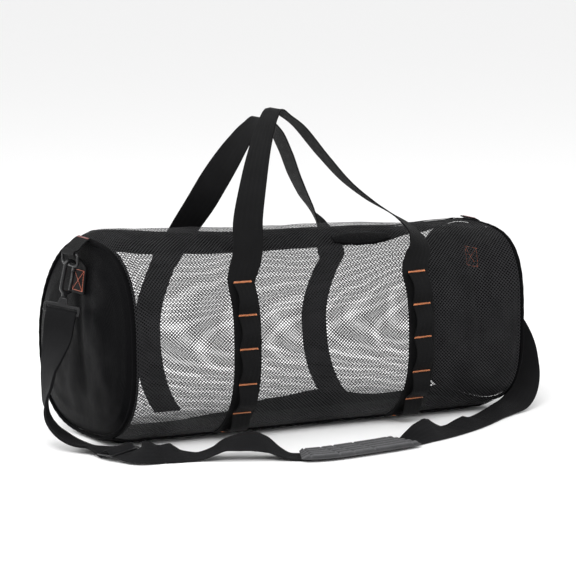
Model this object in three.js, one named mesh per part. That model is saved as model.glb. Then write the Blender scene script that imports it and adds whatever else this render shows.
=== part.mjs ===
// A mesh dive gear bag: a round duffel of net with solid cloth ends and base, a zip along its
// back shoulder, two long webbing handles held up together, and a loose shoulder strap.
// Millimetres, +Z up, X along the bag, the front wall towards -Y, the floor at z = 0.
import * as THREE from "three";

// Driving dimensions of the barrel
const bagLength = 600;
const bagWidth = 292;
const bagHeight = 272;
const widestAt = 0.46;
const endLift = 7;
const footDepth = 3;
const netWall = 2;
const clothWall = 1.8;
const seamGap = 0.4;
const sewnGap = 0.9;

// Driving dimensions of the webbing and of the hardware
const webbingWidth = 40;
const webbingThick = 1.8;
const daisyWidth = 27;
const daisyStand = 9;
const strapStation = 133;
const handleRise = { front: 157, back: 141 };
const bindingRadius = 2.6;
const panelPuff = 12;
const zipTape = 23;
const zipTeethWidth = 5;
const zipAt = 204.5;
const tabWidth = 38;
const tabReach = 19;
const ringThick = 4;
const ringWide = 50;
const ringTall = 20;
const hookBar = 5;
const hookWide = 18;
const hookTall = 44;
const hookLean = 12.5;
const hookSwivel = 33;
const swivelTall = 8;
const strapLoopBar = 4.5;
const strapLoopTall = 14;
const padLength = 172;
const padWidth = 60;
const padThick = 5;
const strapHem = 48;
const padCorner = 7;
const adjusterBar = 3.6;
const adjusterThick = 2;
const slotLength = 10.8;

const deg = Math.PI / 180;
const halfLength = bagLength / 2;
const sideways = new THREE.Vector3(0, 1, 0);

// How the barrel changes from its left end to its right end, as shares of half its length and
// of its height. frontTop and backTop are how square the section's upper quarters are: 2 is an
// ellipse, more is squarer, less is flatter. The last two columns are the base panel's edges, in
// degrees from straight down.
const stations = [
  { along: -1.0, height: 0.985, lift: 1.0, frontTop: 2.9, backTop: 1.85, baseFront: 33, baseBack: 20 },
  { along: -0.9, height: 1.026, lift: 0.0, frontTop: 2.8, backTop: 1.75, baseFront: 33, baseBack: 20 },
  { along: -0.5, height: 1.012, lift: 0.0, frontTop: 2.5, backTop: 1.4, baseFront: 33, baseBack: 20 },
  { along: -0.2, height: 0.992, lift: 0.0, frontTop: 2.5, backTop: 1.38, baseFront: 33, baseBack: 26 },
  { along: 0.1, height: 0.987, lift: 0.0, frontTop: 2.5, backTop: 1.38, baseFront: 33, baseBack: 36 },
  { along: 0.38, height: 0.978, lift: 0.0, frontTop: 2.6, backTop: 1.4, baseFront: 33, baseBack: 40 },
  { along: 0.65, height: 0.958, lift: 0.0, frontTop: 2.8, backTop: 1.5, baseFront: 33, baseBack: 31 },
  { along: 0.9, height: 0.952, lift: 0.0, frontTop: 3.3, backTop: 1.95, baseFront: 33, baseBack: 32 },
  { along: 1.0, height: 0.952, lift: 1.0, frontTop: 3.6, backTop: 2.15, baseFront: 33, baseBack: 32 },
];
const bottomSquareness = 2.6;

// Folds where the net sags between the zip, the straps and the ends, as shares of the half
// length, in degrees round the section, and in millimetres.
const dents = [
  { along: -0.72, turn: 120, reach: 0.2, spread: 26, depth: 3 },
  { along: 0.02, turn: 128, reach: 0.24, spread: 24, depth: 5 },
  { along: 0.74, turn: 118, reach: 0.18, spread: 26, depth: 3 },
  { along: 0.0, turn: 252, reach: 0.3, spread: 26, depth: 5 },
];

// Smoothly reads a column of a table at a place between its rows.
function readTable(rows, key, column, at) {
  if (at <= rows[0][key]) return rows[0][column];
  for (let i = 1; i < rows.length; i += 1) {
    if (at <= rows[i][key]) {
      const low = rows[i - 1];
      const high = rows[i];
      const t = (at - low[key]) / (high[key] - low[key]);
      const eased = t * t * (3 - 2 * t);
      return low[column] + (high[column] - low[column]) * eased;
    }
  }
  return rows[rows.length - 1][column];
}

// A point of the barrel's outer skin before any standing off. The turn runs in degrees from
// straight down, through the front at 90 and the top at 180, to the back at 270.
function skinPoint(along, turn) {
  const share = along / halfLength;
  const height = bagHeight * readTable(stations, "along", "height", share);
  const lift = endLift * readTable(stations, "along", "lift", share);
  const middle = height * widestAt;
  const outY = -Math.sin(turn * deg);
  const outZ = -Math.cos(turn * deg);
  const reachUp = height - middle;
  const reachDown = middle + footDepth - lift;
  const topColumn = outY < 0 ? "frontTop" : "backTop";
  const power = outZ < 0 ? bottomSquareness : readTable(stations, "along", topColumn, share);
  const reachZ = outZ < 0 ? reachDown : reachUp;
  const side = Math.pow(Math.abs(outY) / (bagWidth / 2), power);
  const rise = Math.pow(Math.abs(outZ) / reachZ, power);
  let radius = Math.pow(side + rise, -1 / power);
  for (const dent of dents) {
    const a = (share - dent.along) / dent.reach;
    const b = (turn - dent.turn) / dent.spread;
    radius -= dent.depth * Math.exp(-a * a - b * b);
  }
  return new THREE.Vector3(along, outY * radius, Math.max(middle + outZ * radius, 0));
}

// The same point stood off outwards along the section's own normal.
function wallPoint(along, turn, stand) {
  const step = 1.5;
  const ahead = skinPoint(along, turn + step);
  const behind = skinPoint(along, turn - step);
  const tangent = ahead.sub(behind).normalize();
  const normal = new THREE.Vector3(0, -tangent.z, tangent.y);
  return skinPoint(along, turn).addScaledVector(normal, stand);
}

// Millimetres round the section as degrees.
function asTurn(length) {
  return length / (bagHeight * 0.5) / deg;
}

// Builds one closed mesh from positions and faces that share vertices.
function solidFrom(positions, faces) {
  const geometry = new THREE.BufferGeometry();
  geometry.setAttribute("position", new THREE.Float32BufferAttribute(positions.flatMap((p) => [p.x, p.y, p.z]), 3));
  geometry.setIndex(faces.flat());
  geometry.computeVertexNormals();
  return geometry;
}

// A sheet with thickness: outerAt and innerAt give the two skins for shares u and v from 0 to 1.
// With wrap set, the u direction closes on itself and only the v edges have rims.
function slab(outerAt, innerAt, stepsU, stepsV, wrap = false) {
  const columns = wrap ? stepsU : stepsU + 1;
  const positions = [];
  for (const skin of [outerAt, innerAt]) {
    for (let i = 0; i < columns; i += 1) {
      for (let j = 0; j <= stepsV; j += 1) positions.push(skin(i / stepsU, j / stepsV));
    }
  }
  const layer = columns * (stepsV + 1);
  const at = (side, i, j) => side * layer + (i % columns) * (stepsV + 1) + j;
  const faces = [];
  const quad = (a, b, c, d) => faces.push([a, b, c], [a, c, d]);
  for (let i = 0; i < stepsU; i += 1) {
    for (let j = 0; j < stepsV; j += 1) {
      quad(at(0, i, j), at(0, i + 1, j), at(0, i + 1, j + 1), at(0, i, j + 1));
      quad(at(1, i, j), at(1, i, j + 1), at(1, i + 1, j + 1), at(1, i + 1, j));
    }
    quad(at(0, i + 1, 0), at(0, i, 0), at(1, i, 0), at(1, i + 1, 0));
    quad(at(0, i, stepsV), at(0, i + 1, stepsV), at(1, i + 1, stepsV), at(1, i, stepsV));
  }
  if (!wrap) {
    for (let j = 0; j < stepsV; j += 1) {
      quad(at(0, 0, j), at(0, 0, j + 1), at(1, 0, j + 1), at(1, 0, j));
      quad(at(0, stepsU, j + 1), at(0, stepsU, j), at(1, stepsU, j), at(1, stepsU, j + 1));
    }
  }
  return solidFrom(positions, faces);
}

// A panel of the barrel's wall between two stations and two turns.
function wallPanel({ from, to, low, high, stand, thick, stepsAlong, stepsRound }) {
  const place = (u, v, off) => {
    const along = from + (to - from) * u;
    const share = along / halfLength;
    const turn = low(share) + (high(share) - low(share)) * v;
    return wallPoint(along, turn, off);
  };
  return slab((u, v) => place(u, 1 - v, stand), (u, v) => place(u, 1 - v, stand - thick), stepsAlong, stepsRound);
}

// A strip of webbing swept through frames that each hold a place and the direction of its width.
function webbing(frames, width, thick) {
  const positions = [];
  const last = frames.length - 1;
  frames.forEach((frame, i) => {
    const before = frames[Math.max(i - 1, 0)].place;
    const after = frames[Math.min(i + 1, last)].place;
    const tangent = after.clone().sub(before).normalize();
    const across = frame.across.clone().addScaledVector(tangent, -frame.across.dot(tangent)).normalize();
    const out = new THREE.Vector3().crossVectors(across, tangent);
    const wide = frame.width ?? width;
    for (const [a, b] of [[-1, -1], [1, -1], [1, 1], [-1, 1]]) {
      const corner = frame.place.clone().addScaledVector(across, (a * wide) / 2);
      positions.push(corner.addScaledVector(out, (b * thick) / 2));
    }
  });
  const faces = [];
  for (let i = 0; i < last; i += 1) {
    for (let k = 0; k < 4; k += 1) {
      const a = i * 4 + k;
      const b = i * 4 + ((k + 1) % 4);
      faces.push([a, b, b + 4], [a, b + 4, a + 4]);
    }
  }
  faces.push([0, 2, 1], [0, 3, 2]);
  const end = last * 4;
  faces.push([end, end + 1, end + 2], [end, end + 2, end + 3]);
  return outwards(solidFrom(positions, faces));
}

// Turns a closed mesh the right way round if its faces point inwards.
function outwards(geometry) {
  const position = geometry.getAttribute("position");
  const index = geometry.getIndex().array;
  const [a, b, c] = [new THREE.Vector3(), new THREE.Vector3(), new THREE.Vector3()];
  let volume = 0;
  for (let i = 0; i < index.length; i += 3) {
    a.fromBufferAttribute(position, index[i]);
    b.fromBufferAttribute(position, index[i + 1]);
    c.fromBufferAttribute(position, index[i + 2]);
    volume += a.dot(b.cross(c));
  }
  if (volume < 0) {
    for (let i = 0; i < index.length; i += 3) {
      [index[i + 1], index[i + 2]] = [index[i + 2], index[i + 1]];
    }
    geometry.computeVertexNormals();
  }
  return geometry;
}

// A bar of round section round a closed loop; the axis is the direction that the loop circles.
function ringOfBar(points, radius, sides, axis) {
  const positions = [];
  const steps = points.length;
  for (let i = 0; i < steps; i += 1) {
    const place = points[i];
    const tangent = points[(i + 1) % steps].clone().sub(points[(i + steps - 1) % steps]).normalize();
    const outward = new THREE.Vector3().crossVectors(tangent, axis).normalize();
    for (let k = 0; k < sides; k += 1) {
      const turn = (2 * Math.PI * (k + 0.5)) / sides;
      const corner = place.clone().addScaledVector(outward, radius * Math.cos(turn));
      positions.push(corner.addScaledVector(axis, radius * Math.sin(turn)));
    }
  }
  const faces = [];
  for (let i = 0; i < steps; i += 1) {
    for (let k = 0; k < sides; k += 1) {
      const a = i * sides + k;
      const b = i * sides + ((k + 1) % sides);
      const c = ((i + 1) % steps) * sides + ((k + 1) % sides);
      const d = ((i + 1) % steps) * sides + k;
      faces.push([a, b, c], [a, c, d]);
    }
  }
  return outwards(solidFrom(positions, faces));
}

// The materials, by what each piece is made of.
const looks = {
  net: new THREE.MeshStandardMaterial({ color: 0x1c1c1e, roughness: 0.75 }),
  cloth: new THREE.MeshStandardMaterial({ color: 0x141415, roughness: 0.7 }),
  webbing: new THREE.MeshStandardMaterial({ color: 0x161617, roughness: 0.65 }),
  pad: new THREE.MeshStandardMaterial({ color: 0x2c2c2e, roughness: 0.8 }),
  plastic: new THREE.MeshStandardMaterial({ color: 0x26272a, roughness: 0.4 }),
  zip: new THREE.MeshStandardMaterial({ color: 0x101011, roughness: 0.45 }),
};

const bag = new THREE.Group();

function addPiece(name, geometry, material, parent = bag) {
  const mesh = new THREE.Mesh(geometry, material);
  mesh.name = name;
  parent.add(mesh);
  return mesh;
}

// The walls: two net panels, the base and the zip's two tapes with its teeth between them
const wallEnd = halfLength - 2 * bindingRadius - seamGap;
const zipHalf = asTurn(zipTeethWidth / 2);
const tapeTurn = asTurn(zipTape);
const gapTurn = asTurn(seamGap);
const zipLow = zipAt - zipHalf - gapTurn - tapeTurn;
const zipHigh = zipAt + zipHalf + gapTurn + tapeTurn;
const frontEdge = (share) => readTable(stations, "along", "baseFront", share);
const backEdge = (share) => 360 - readTable(stations, "along", "baseBack", share);

const wallSteps = 22;

const wallPieces = [
  { name: "mesh_front", low: (s) => frontEdge(s) + gapTurn, high: () => zipLow - gapTurn, thick: netWall,
    stepsRound: 14, look: looks.net },
  { name: "mesh_back", low: () => zipHigh + gapTurn, high: (s) => backEdge(s) - gapTurn, thick: netWall,
    stepsRound: 10, look: looks.net },
  { name: "base_panel", low: (s) => backEdge(s) - 360, high: frontEdge, thick: clothWall,
    stepsRound: 6, look: looks.cloth },
  { name: "zip_tape_upper", low: () => zipLow, high: () => zipLow + tapeTurn, thick: clothWall,
    stepsRound: 1, look: looks.cloth },
  { name: "zip_tape_lower", low: () => zipHigh - tapeTurn, high: () => zipHigh, thick: clothWall,
    stepsRound: 1, look: looks.cloth },
  { name: "zip_teeth", low: () => zipAt - zipHalf, high: () => zipAt + zipHalf, thick: 2 * clothWall,
    stepsRound: 1, look: looks.zip },
];
for (const piece of wallPieces) {
  const stand = piece.name === "zip_teeth" ? clothWall / 2 : 0;
  const geometry = wallPanel({ ...piece, from: -wallEnd, to: wallEnd, stand, stepsAlong: wallSteps });
  addPiece(piece.name, outwards(geometry), piece.look);
}

// The smooth dark strip on the net of the front shoulder, right of the middle, narrow at its ends
const patch = { left: 34, right: 122, middleTurn: 149, halfTurn: 6, thick: 1.2 };
const patchTaper = (share) => {
  const across = (share * halfLength - patch.left) / (patch.right - patch.left);
  return patch.halfTurn * (0.35 + 0.65 * Math.min(across * 3, (1 - across) * 3, 1));
};
addPiece("top_patch", outwards(wallPanel({
  from: patch.left,
  to: patch.right,
  low: (share) => patch.middleTurn - patchTaper(share),
  high: (share) => patch.middleTurn + patchTaper(share),
  stand: seamGap + patch.thick,
  thick: patch.thick,
  stepsAlong: 6,
  stepsRound: 2,
})), looks.cloth);

// A share of the disc out to its rim, and how far the cloth puffs out there
const puffRings = [
  { share: 1.0, puff: 0.0 },
  { share: 0.93, puff: 0.42 },
  { share: 0.8, puff: 0.74 },
  { share: 0.55, puff: 0.95 },
  { share: 0.25, puff: 1.0 },
];

// The middle of an end panel, which its rings shrink towards
function panelMiddle(along) {
  return new THREE.Vector3(along, 0, bagHeight * widestAt);
}

// The puff is fullest a little below the middle and dies away towards the top and the bottom.
function panelSag(height) {
  return 0.5 + 0.5 * Math.cos((height / bagHeight - 0.42) * Math.PI);
}

// A soft round end: a puffed cloth disc inside its bound rim
function endPanel(side) {
  const sectors = 36;
  const rimAlong = side * (halfLength - bindingRadius);
  const positions = [];
  const skinOf = (inset) => {
    for (const ring of puffRings) {
      for (let k = 0; k < sectors; k += 1) {
        const rim = wallPoint(rimAlong, (360 * k) / sectors, -2 * (bindingRadius + seamGap));
        const middle = panelMiddle(rimAlong);
        const place = middle.clone().lerp(rim, ring.share);
        place.x += side * (ring.puff * panelPuff * panelSag(place.z) - inset);
        positions.push(place);
      }
    }
    const centre = panelMiddle(rimAlong);
    centre.x += side * (panelPuff - inset);
    positions.push(centre);
  };
  skinOf(0);
  skinOf(clothWall);
  const rings = puffRings.length;
  const layer = rings * sectors + 1;
  const faces = [];
  for (const [start, flip] of [[0, false], [layer, true]]) {
    const put = (a, b, c) => faces.push(flip ? [a, c, b] : [a, b, c]);
    for (let r = 0; r < rings - 1; r += 1) {
      for (let k = 0; k < sectors; k += 1) {
        const next = (k + 1) % sectors;
        const [a, b] = [start + r * sectors + k, start + r * sectors + next];
        put(a, b, b + sectors);
        put(a, b + sectors, a + sectors);
      }
    }
    for (let k = 0; k < sectors; k += 1) {
      const inner = start + (rings - 1) * sectors;
      put(inner + k, inner + ((k + 1) % sectors), start + rings * sectors);
    }
  }
  for (let k = 0; k < sectors; k += 1) {
    const next = (k + 1) % sectors;
    faces.push([k, layer + k, layer + next], [k, layer + next, next]);
  }
  return outwards(solidFrom(positions, faces));
}

// The bound seam round an end
function endBinding(side) {
  const points = [];
  const count = 36;
  for (let k = 0; k < count; k += 1) {
    points.push(wallPoint(side * (halfLength - bindingRadius), (360 * k) / count, -bindingRadius - seamGap / 2));
  }
  return ringOfBar(points, bindingRadius, 6, new THREE.Vector3(1, 0, 0));
}

for (const [word, side] of [["left", -1], ["right", 1]]) {
  addPiece(`end_panel_${word}`, endPanel(side), looks.cloth);
  addPiece(`end_binding_${word}`, endBinding(side), looks.cloth);
}

// Where the webbing lies on the wall, in degrees from straight down, and how its free part goes
// up to the place where both handles are held side by side: shares of the way along from the
// strap's station to that place and of the rise, with the webbing's turn in degrees.
const sewnLow = 36;
const handles = {
  front: {
    side: -1,
    sewnHigh: 125,
    rootLift: 0,
    leftLeg: [
      { along: 0.05, rise: 0.06, turn: 2, bow: 2 },
      { along: 0.13, rise: 0.13, turn: 8, bow: 3 },
      { along: 0.2, rise: 0.22, turn: 22, bow: 2 },
      { along: 0.27, rise: 0.34, turn: 38, bow: 0 },
      { along: 0.43, rise: 0.53, turn: 56, bow: 0 },
      { along: 0.65, rise: 0.76, turn: 74, bow: 0 },
      { along: 0.88, rise: 0.95, turn: 86, bow: 0 },
    ],
    rightLeg: [
      { along: 0.91, rise: 0.955, turn: 92, bow: 0 },
      { along: 0.81, rise: 0.89, turn: 93, bow: 0 },
      { along: 0.64, rise: 0.71, turn: 95, bow: 0 },
      { along: 0.47, rise: 0.55, turn: 98, bow: 0 },
      { along: 0.28, rise: 0.43, turn: 102, bow: 0 },
      { along: 0.08, rise: 0.33, turn: 112, bow: 2 },
      { along: -0.05, rise: 0.24, turn: 134, bow: 6 },
      { along: -0.08, rise: 0.14, turn: 162, bow: 7 },
      { along: -0.03, rise: 0.06, turn: 176, bow: 3 },
    ],
  },
  back: {
    side: 1,
    sewnHigh: 131,
    rootLift: 0.8,
    leftLeg: [
      { along: 0.06, rise: 0.06, turn: 2, bow: 3.5 },
      { along: 0.23, rise: 0.26, turn: 14, bow: 3 },
      { along: 0.38, rise: 0.43, turn: 27, bow: 0 },
      { along: 0.5, rise: 0.57, turn: 40, bow: 0 },
      { along: 0.63, rise: 0.71, turn: 54, bow: 0 },
      { along: 0.75, rise: 0.83, turn: 68, bow: 0 },
      { along: 0.88, rise: 0.94, turn: 82, bow: 0 },
    ],
    rightLeg: [
      { along: 0.85, rise: 0.93, turn: 91, bow: 0 },
      { along: 0.7, rise: 0.78, turn: 92, bow: 0 },
      { along: 0.54, rise: 0.58, turn: 94, bow: 0 },
      { along: 0.38, rise: 0.41, turn: 100, bow: 1 },
      { along: 0.23, rise: 0.27, turn: 118, bow: 5 },
      { along: 0.13, rise: 0.17, turn: 150, bow: 7 },
      { along: 0.04, rise: 0.07, turn: 176, bow: 4 },
    ],
  },
};
const meetAlong = -0.075;
const strapStand = sewnGap + webbingThick / 2;

// Webbing lying on the wall: it follows the wall across its width too.
function wallFrame(station, turn, stand, wide = webbingWidth) {
  const near = wallPoint(station - wide / 2, turn, stand);
  const far = wallPoint(station + wide / 2, turn, stand);
  const middle = wallPoint(station, turn, stand);
  const centre = near.clone().add(far).multiplyScalar(0.5);
  const proud = Math.max(centre.distanceTo(middle) * Math.sign(middle.length() - centre.length()), 0);
  const out = wallPoint(station, turn, stand + 1).sub(middle);
  return { place: centre.addScaledVector(out, proud), across: far.sub(near).normalize() };
}

// One handle: up the wall, over through the place where it is held, and down the wall again
function handlePath(handle) {
  const { side, sewnHigh } = handle;
  const facing = (turn) => (side < 0 ? turn : 360 - turn);
  const rise = side < 0 ? handleRise.front : handleRise.back;
  const apart = side * (webbingWidth / 2 + 1.5);
  const meeting = new THREE.Vector3(meetAlong * halfLength, apart, bagHeight + rise);
  const turned = (degrees) => new THREE.Vector3(Math.cos(degrees * deg), -Math.sin(degrees * deg), 0);
  const frames = [];
  const onWall = (station, turn, flip) => {
    const frame = wallFrame(station, facing(turn), turn === sewnHigh ? strapStand + handle.rootLift : strapStand);
    frames.push({ place: frame.place, across: frame.across.multiplyScalar(flip) });
  };
  const freeLeg = (station, rows) => {
    const root = wallFrame(station, facing(sewnHigh), strapStand).place;
    for (const row of rows) {
      const place = root.clone().lerp(meeting, row.rise);
      place.x = station + (meeting.x - station) * row.along;
      place.y += side * row.bow;
      frames.push({ place, across: turned(row.turn) });
    }
  };
  const stepsOnWall = 9;
  const turnAt = (i) => sewnLow + ((sewnHigh - sewnLow) * i) / stepsOnWall;
  for (let i = 0; i <= stepsOnWall; i += 1) onWall(-strapStation, turnAt(i), 1);
  freeLeg(-strapStation, handle.leftLeg);
  frames.push({ place: meeting, across: turned(90) });
  freeLeg(strapStation, handle.rightLeg);
  for (let i = stepsOnWall; i >= 0; i -= 1) onWall(strapStation, turnAt(i), -1);
  return frames;
}

// A path of places and widths in even steps
function evenFrames(rows, steps) {
  const curve = new THREE.CatmullRomCurve3(rows.map((row) => row.place), false, "centripetal");
  const frames = [];
  for (let i = 0; i <= steps; i += 1) {
    const t = curve.getUtoTmapping(i / steps);
    const slot = Math.min(t * (rows.length - 1), rows.length - 1 - 1e-6);
    const low = Math.floor(slot);
    const across = rows[low].across.clone().lerp(rows[low + 1].across, slot - low).normalize();
    frames.push({ place: curve.getPoint(t), across });
  }
  return frames;
}

// The narrow upper webbing of a front strap, sewn down in steps so that it stands off in loops.
const daisyTurns = [41, 57, 73, 91, 108, 124];
const daisySteps = 6;

function daisyFrames(station) {
  const frames = [];
  const flat = strapStand + webbingThick + seamGap;
  for (let i = 0; i < daisyTurns.length - 1; i += 1) {
    for (let k = 0; k < daisySteps; k += 1) {
      const share = k / daisySteps;
      const turn = daisyTurns[i] + (daisyTurns[i + 1] - daisyTurns[i]) * share;
      const stand = flat + daisyStand * Math.sin(Math.PI * share) ** 1.4;
      frames.push(wallFrame(station, turn, stand));
    }
  }
  const lastTurn = daisyTurns[daisyTurns.length - 1];
  frames.push(wallFrame(station, lastTurn, flat));
  return frames;
}

for (const [word, handle] of Object.entries(handles)) {
  addPiece(`handle_${word}`, webbing(evenFrames(handlePath(handle), 88), webbingWidth, webbingThick), looks.webbing);
}
for (const [word, side] of [["left", -1], ["right", 1]]) {
  addPiece(`daisy_chain_${word}`, webbing(daisyFrames(side * strapStation), daisyWidth, webbingThick), looks.webbing);
}

// The webbing tab on an end panel: from the rim out round the ring's top bar, back to the panel
// and down it, as shares of the tab's reach and of the height, with the panel's own puff below.
function rimHeight(side) {
  return skinPoint(side * halfLength, 180).z;
}

// How far the end panel stands out of the rim's plane, straight above or below its middle.
function panelReach(side, height) {
  const middle = panelMiddle(0).z;
  const rim = wallPoint(side * (halfLength - bindingRadius), 180, -2 * (bindingRadius + seamGap)).z;
  const share = Math.min((height - middle) / (rim - middle), 1);
  const ringsInOrder = [...puffRings].reverse();
  let puff = ringsInOrder[0].puff;
  for (let i = 1; i < ringsInOrder.length; i += 1) {
    const [low, high] = [ringsInOrder[i - 1], ringsInOrder[i]];
    if (share > low.share) puff = low.puff + ((high.puff - low.puff) * (share - low.share)) / (high.share - low.share);
  }
  return puff * panelPuff * panelSag(height) - bindingRadius;
}

// The hardware hangs below these places: the ring's bars, seen from the end's top centre
function ringTopHeight(side) {
  return rimHeight(side) - 17;
}

function endTab(side) {
  const top = rimHeight(side);
  const bar = ringTopHeight(side);
  const round = (ringThick / 2 + seamGap + webbingThick / 2) / Math.cos(15 * deg) + 0.2;
  const at = (out, height) => ({
    place: new THREE.Vector3(side * (halfLength + out), 0, height),
    across: sideways,
  });
  const upper = evenFrames([
    at(-bindingRadius, top + strapStand),
    at(0.14 * tabReach, top - 0.4),
    at(0.5 * tabReach, top - 5.5),
    at(0.8 * tabReach, bar + round + 1.5),
    at(tabReach, bar + round),
  ], 8).slice(0, -1);
  const turned = arc(tabReach, bar, round, 90, -90, 6).map((point) => at(point.x, point.y));
  const lower = [at(tabReach, bar - round), at(0.62 * tabReach, bar - 9)];
  for (const drop of [20, 32, 42, 55]) lower.push(at(panelReach(side, bar - drop) + strapStand + 0.3, bar - drop));
  return [...upper, ...turned, ...evenFrames(lower, 16).slice(1)];
}

// The plastic ring that the tab holds
function ringPoints(side) {
  const [wide, tall] = [(ringWide - ringThick) / 2, (ringTall - ringThick) / 2];
  const corner = tall * 0.75;
  const middle = new THREE.Vector3(side * (halfLength + tabReach), 0, ringTopHeight(side) - tall);
  const points = [];
  const corners = [
    { y: 1, z: 1, from: 0 },
    { y: -1, z: 1, from: 90 },
    { y: -1, z: -1, from: 180 },
    { y: 1, z: -1, from: 270 },
  ];
  for (const { y, z, from } of corners) {
    for (const point of arc(y * (wide - corner), z * (tall - corner), corner, from, from + 90, 4)) {
      points.push(new THREE.Vector3(middle.x, point.x, middle.z + point.y));
    }
  }
  return points;
}

// A flat plate with soft edges from an outline, centred on its own plane
function plate(outline, holes, thick) {
  const shape = new THREE.Shape(outline);
  for (const hole of holes) shape.holes.push(new THREE.Path(hole));
  const bevel = thick * 0.22;
  const geometry = new THREE.ExtrudeGeometry(shape, {
    depth: thick - 2 * bevel,
    bevelEnabled: true,
    bevelThickness: bevel,
    bevelSize: bevel,
    bevelOffset: -bevel,
    bevelSegments: 1,
    curveSegments: 1,
  });
  geometry.translate(0, 0, -thick / 2 + bevel);
  return geometry;
}

// Points of an arc, in degrees
function arc(x, y, radius, from, to, steps) {
  const points = [];
  for (let i = 0; i <= steps; i += 1) {
    const turn = (from + ((to - from) * i) / steps) * deg;
    points.push(new THREE.Vector2(x + radius * Math.cos(turn), y + radius * Math.sin(turn)));
  }
  return points;
}

// The snap hook in its own plane: x across it and y up, with the ring's bar at the origin.
const hookInner = hookWide / 2 - hookBar;
const hookCrown = -(hookInner - ringThick / 2 - seamGap);
const noseLow = -8;
const gatePivotHeight = -(hookTall - 12);
const gateRadius = 2.1;
const gateAcross = -(hookWide - hookBar) / 2;

function hookBody() {
  const half = hookWide / 2;
  const stem = 3.4;
  const lug = gatePivotHeight - gateRadius - seamGap;
  const outline = [
    new THREE.Vector2(-half, noseLow),
    ...arc(0, hookCrown, half, 180, 0, 10),
    ...arc(0, lug + 3.5, half, 0, -62, 4),
    new THREE.Vector2(stem, -hookTall),
    new THREE.Vector2(-stem, -hookTall),
    new THREE.Vector2(-stem, lug - 5.2),
    new THREE.Vector2(-half, lug - 2.4),
    new THREE.Vector2(-half, lug),
    new THREE.Vector2(-hookInner + 0.6, lug),
    ...arc(0, lug + 3.5, hookInner, -70, 0, 3),
    ...arc(0, hookCrown, hookInner, 0, 180, 8),
    new THREE.Vector2(-hookInner, noseLow),
  ];
  return plate(outline, [], hookBar);
}

// The hook's gate, a sprung lever that turns about its lower end, up to the nose
function hookGate() {
  const top = noseLow - seamGap;
  const outline = [
    ...arc(gateAcross, gatePivotHeight, gateRadius, 180, 360, 6),
    new THREE.Vector2(gateAcross + gateRadius, top),
    new THREE.Vector2(gateAcross - gateRadius, top),
  ];
  return plate(outline, [], hookBar * 0.8);
}

// The swivel's cap and the bar loop that holds the strap, one moulding
const strapLoopWide = webbingWidth + 2 * strapLoopBar + 2 * seamGap;

function strapLoop() {
  const half = strapLoopWide / 2;
  const cap = 5;
  const shoulder = -hookTall - seamGap - swivelTall;
  const low = shoulder - strapLoopTall;
  const outline = [
    new THREE.Vector2(-cap, shoulder + swivelTall),
    new THREE.Vector2(cap, shoulder + swivelTall),
    new THREE.Vector2(cap + 2, shoulder),
    new THREE.Vector2(half - 2, shoulder - 0.6),
    new THREE.Vector2(half, shoulder - 3),
    new THREE.Vector2(half, low + 1.5),
    new THREE.Vector2(half - 1.5, low),
    new THREE.Vector2(-half + 1.5, low),
    new THREE.Vector2(-half, low + 1.5),
    new THREE.Vector2(-half, shoulder - 3),
    new THREE.Vector2(-half + 2, shoulder - 0.6),
    new THREE.Vector2(-cap - 2, shoulder),
  ];
  const hole = [
    new THREE.Vector2(-half + strapLoopBar, shoulder - strapLoopBar),
    new THREE.Vector2(-half + strapLoopBar, low + strapLoopBar),
    new THREE.Vector2(half - strapLoopBar, low + strapLoopBar),
    new THREE.Vector2(half - strapLoopBar, shoulder - strapLoopBar),
  ];
  return plate(outline, [hole], strapLoopBar);
}

// Hangs the hook, gate and strap loop of one end from its ring. Within this group y is up the
// hook, x points across it and z along the ring's bar.
function hookGroup(side) {
  const group = new THREE.Group();
  group.position.set(side * (halfLength + tabReach), 0, ringTopHeight(side) - (ringTall - ringThick));
  const down = new THREE.Vector3(side * Math.sin(hookLean * deg), 0, -Math.cos(hookLean * deg));
  const across = new THREE.Vector3(side * Math.cos(hookLean * deg), 0, Math.sin(hookLean * deg));
  const upHook = down.clone().negate();
  const along = new THREE.Vector3().crossVectors(across, upHook);
  group.setRotationFromMatrix(new THREE.Matrix4().makeBasis(across, upHook, along));
  bag.add(group);
  return group;
}

const strapEnds = {};
for (const [word, side] of [["left", -1], ["right", 1]]) {
  addPiece(`end_tab_${word}`, webbing(endTab(side), tabWidth, webbingThick), looks.webbing);
  const ring = ringOfBar(ringPoints(side), ringThick / 2, 8, new THREE.Vector3(1, 0, 0));
  addPiece(`tab_ring_${word}`, ring, looks.plastic);
  const group = hookGroup(side);
  addPiece(`hook_body_${word}`, hookBody(), looks.plastic, group);
  addPiece(`hook_gate_${word}`, hookGate(), looks.plastic, group);
  const loop = addPiece(`hook_strap_loop_${word}`, strapLoop(), looks.plastic, group);
  loop.rotation.y = -hookSwivel * deg;
  group.updateMatrixWorld(true);
  const barHeight = -hookTall - seamGap - swivelTall - strapLoopTall + strapLoopBar / 2;
  strapEnds[word] = {
    bar: loop.localToWorld(new THREE.Vector3(0, barHeight, 0)),
    across: new THREE.Vector3(1, 0, 0).transformDirection(loop.matrixWorld).multiplyScalar(side),
    down: new THREE.Vector3(0, -1, 0).transformDirection(loop.matrixWorld),
    face: new THREE.Vector3(0, 0, 1).transformDirection(loop.matrixWorld),
  };
}

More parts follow.
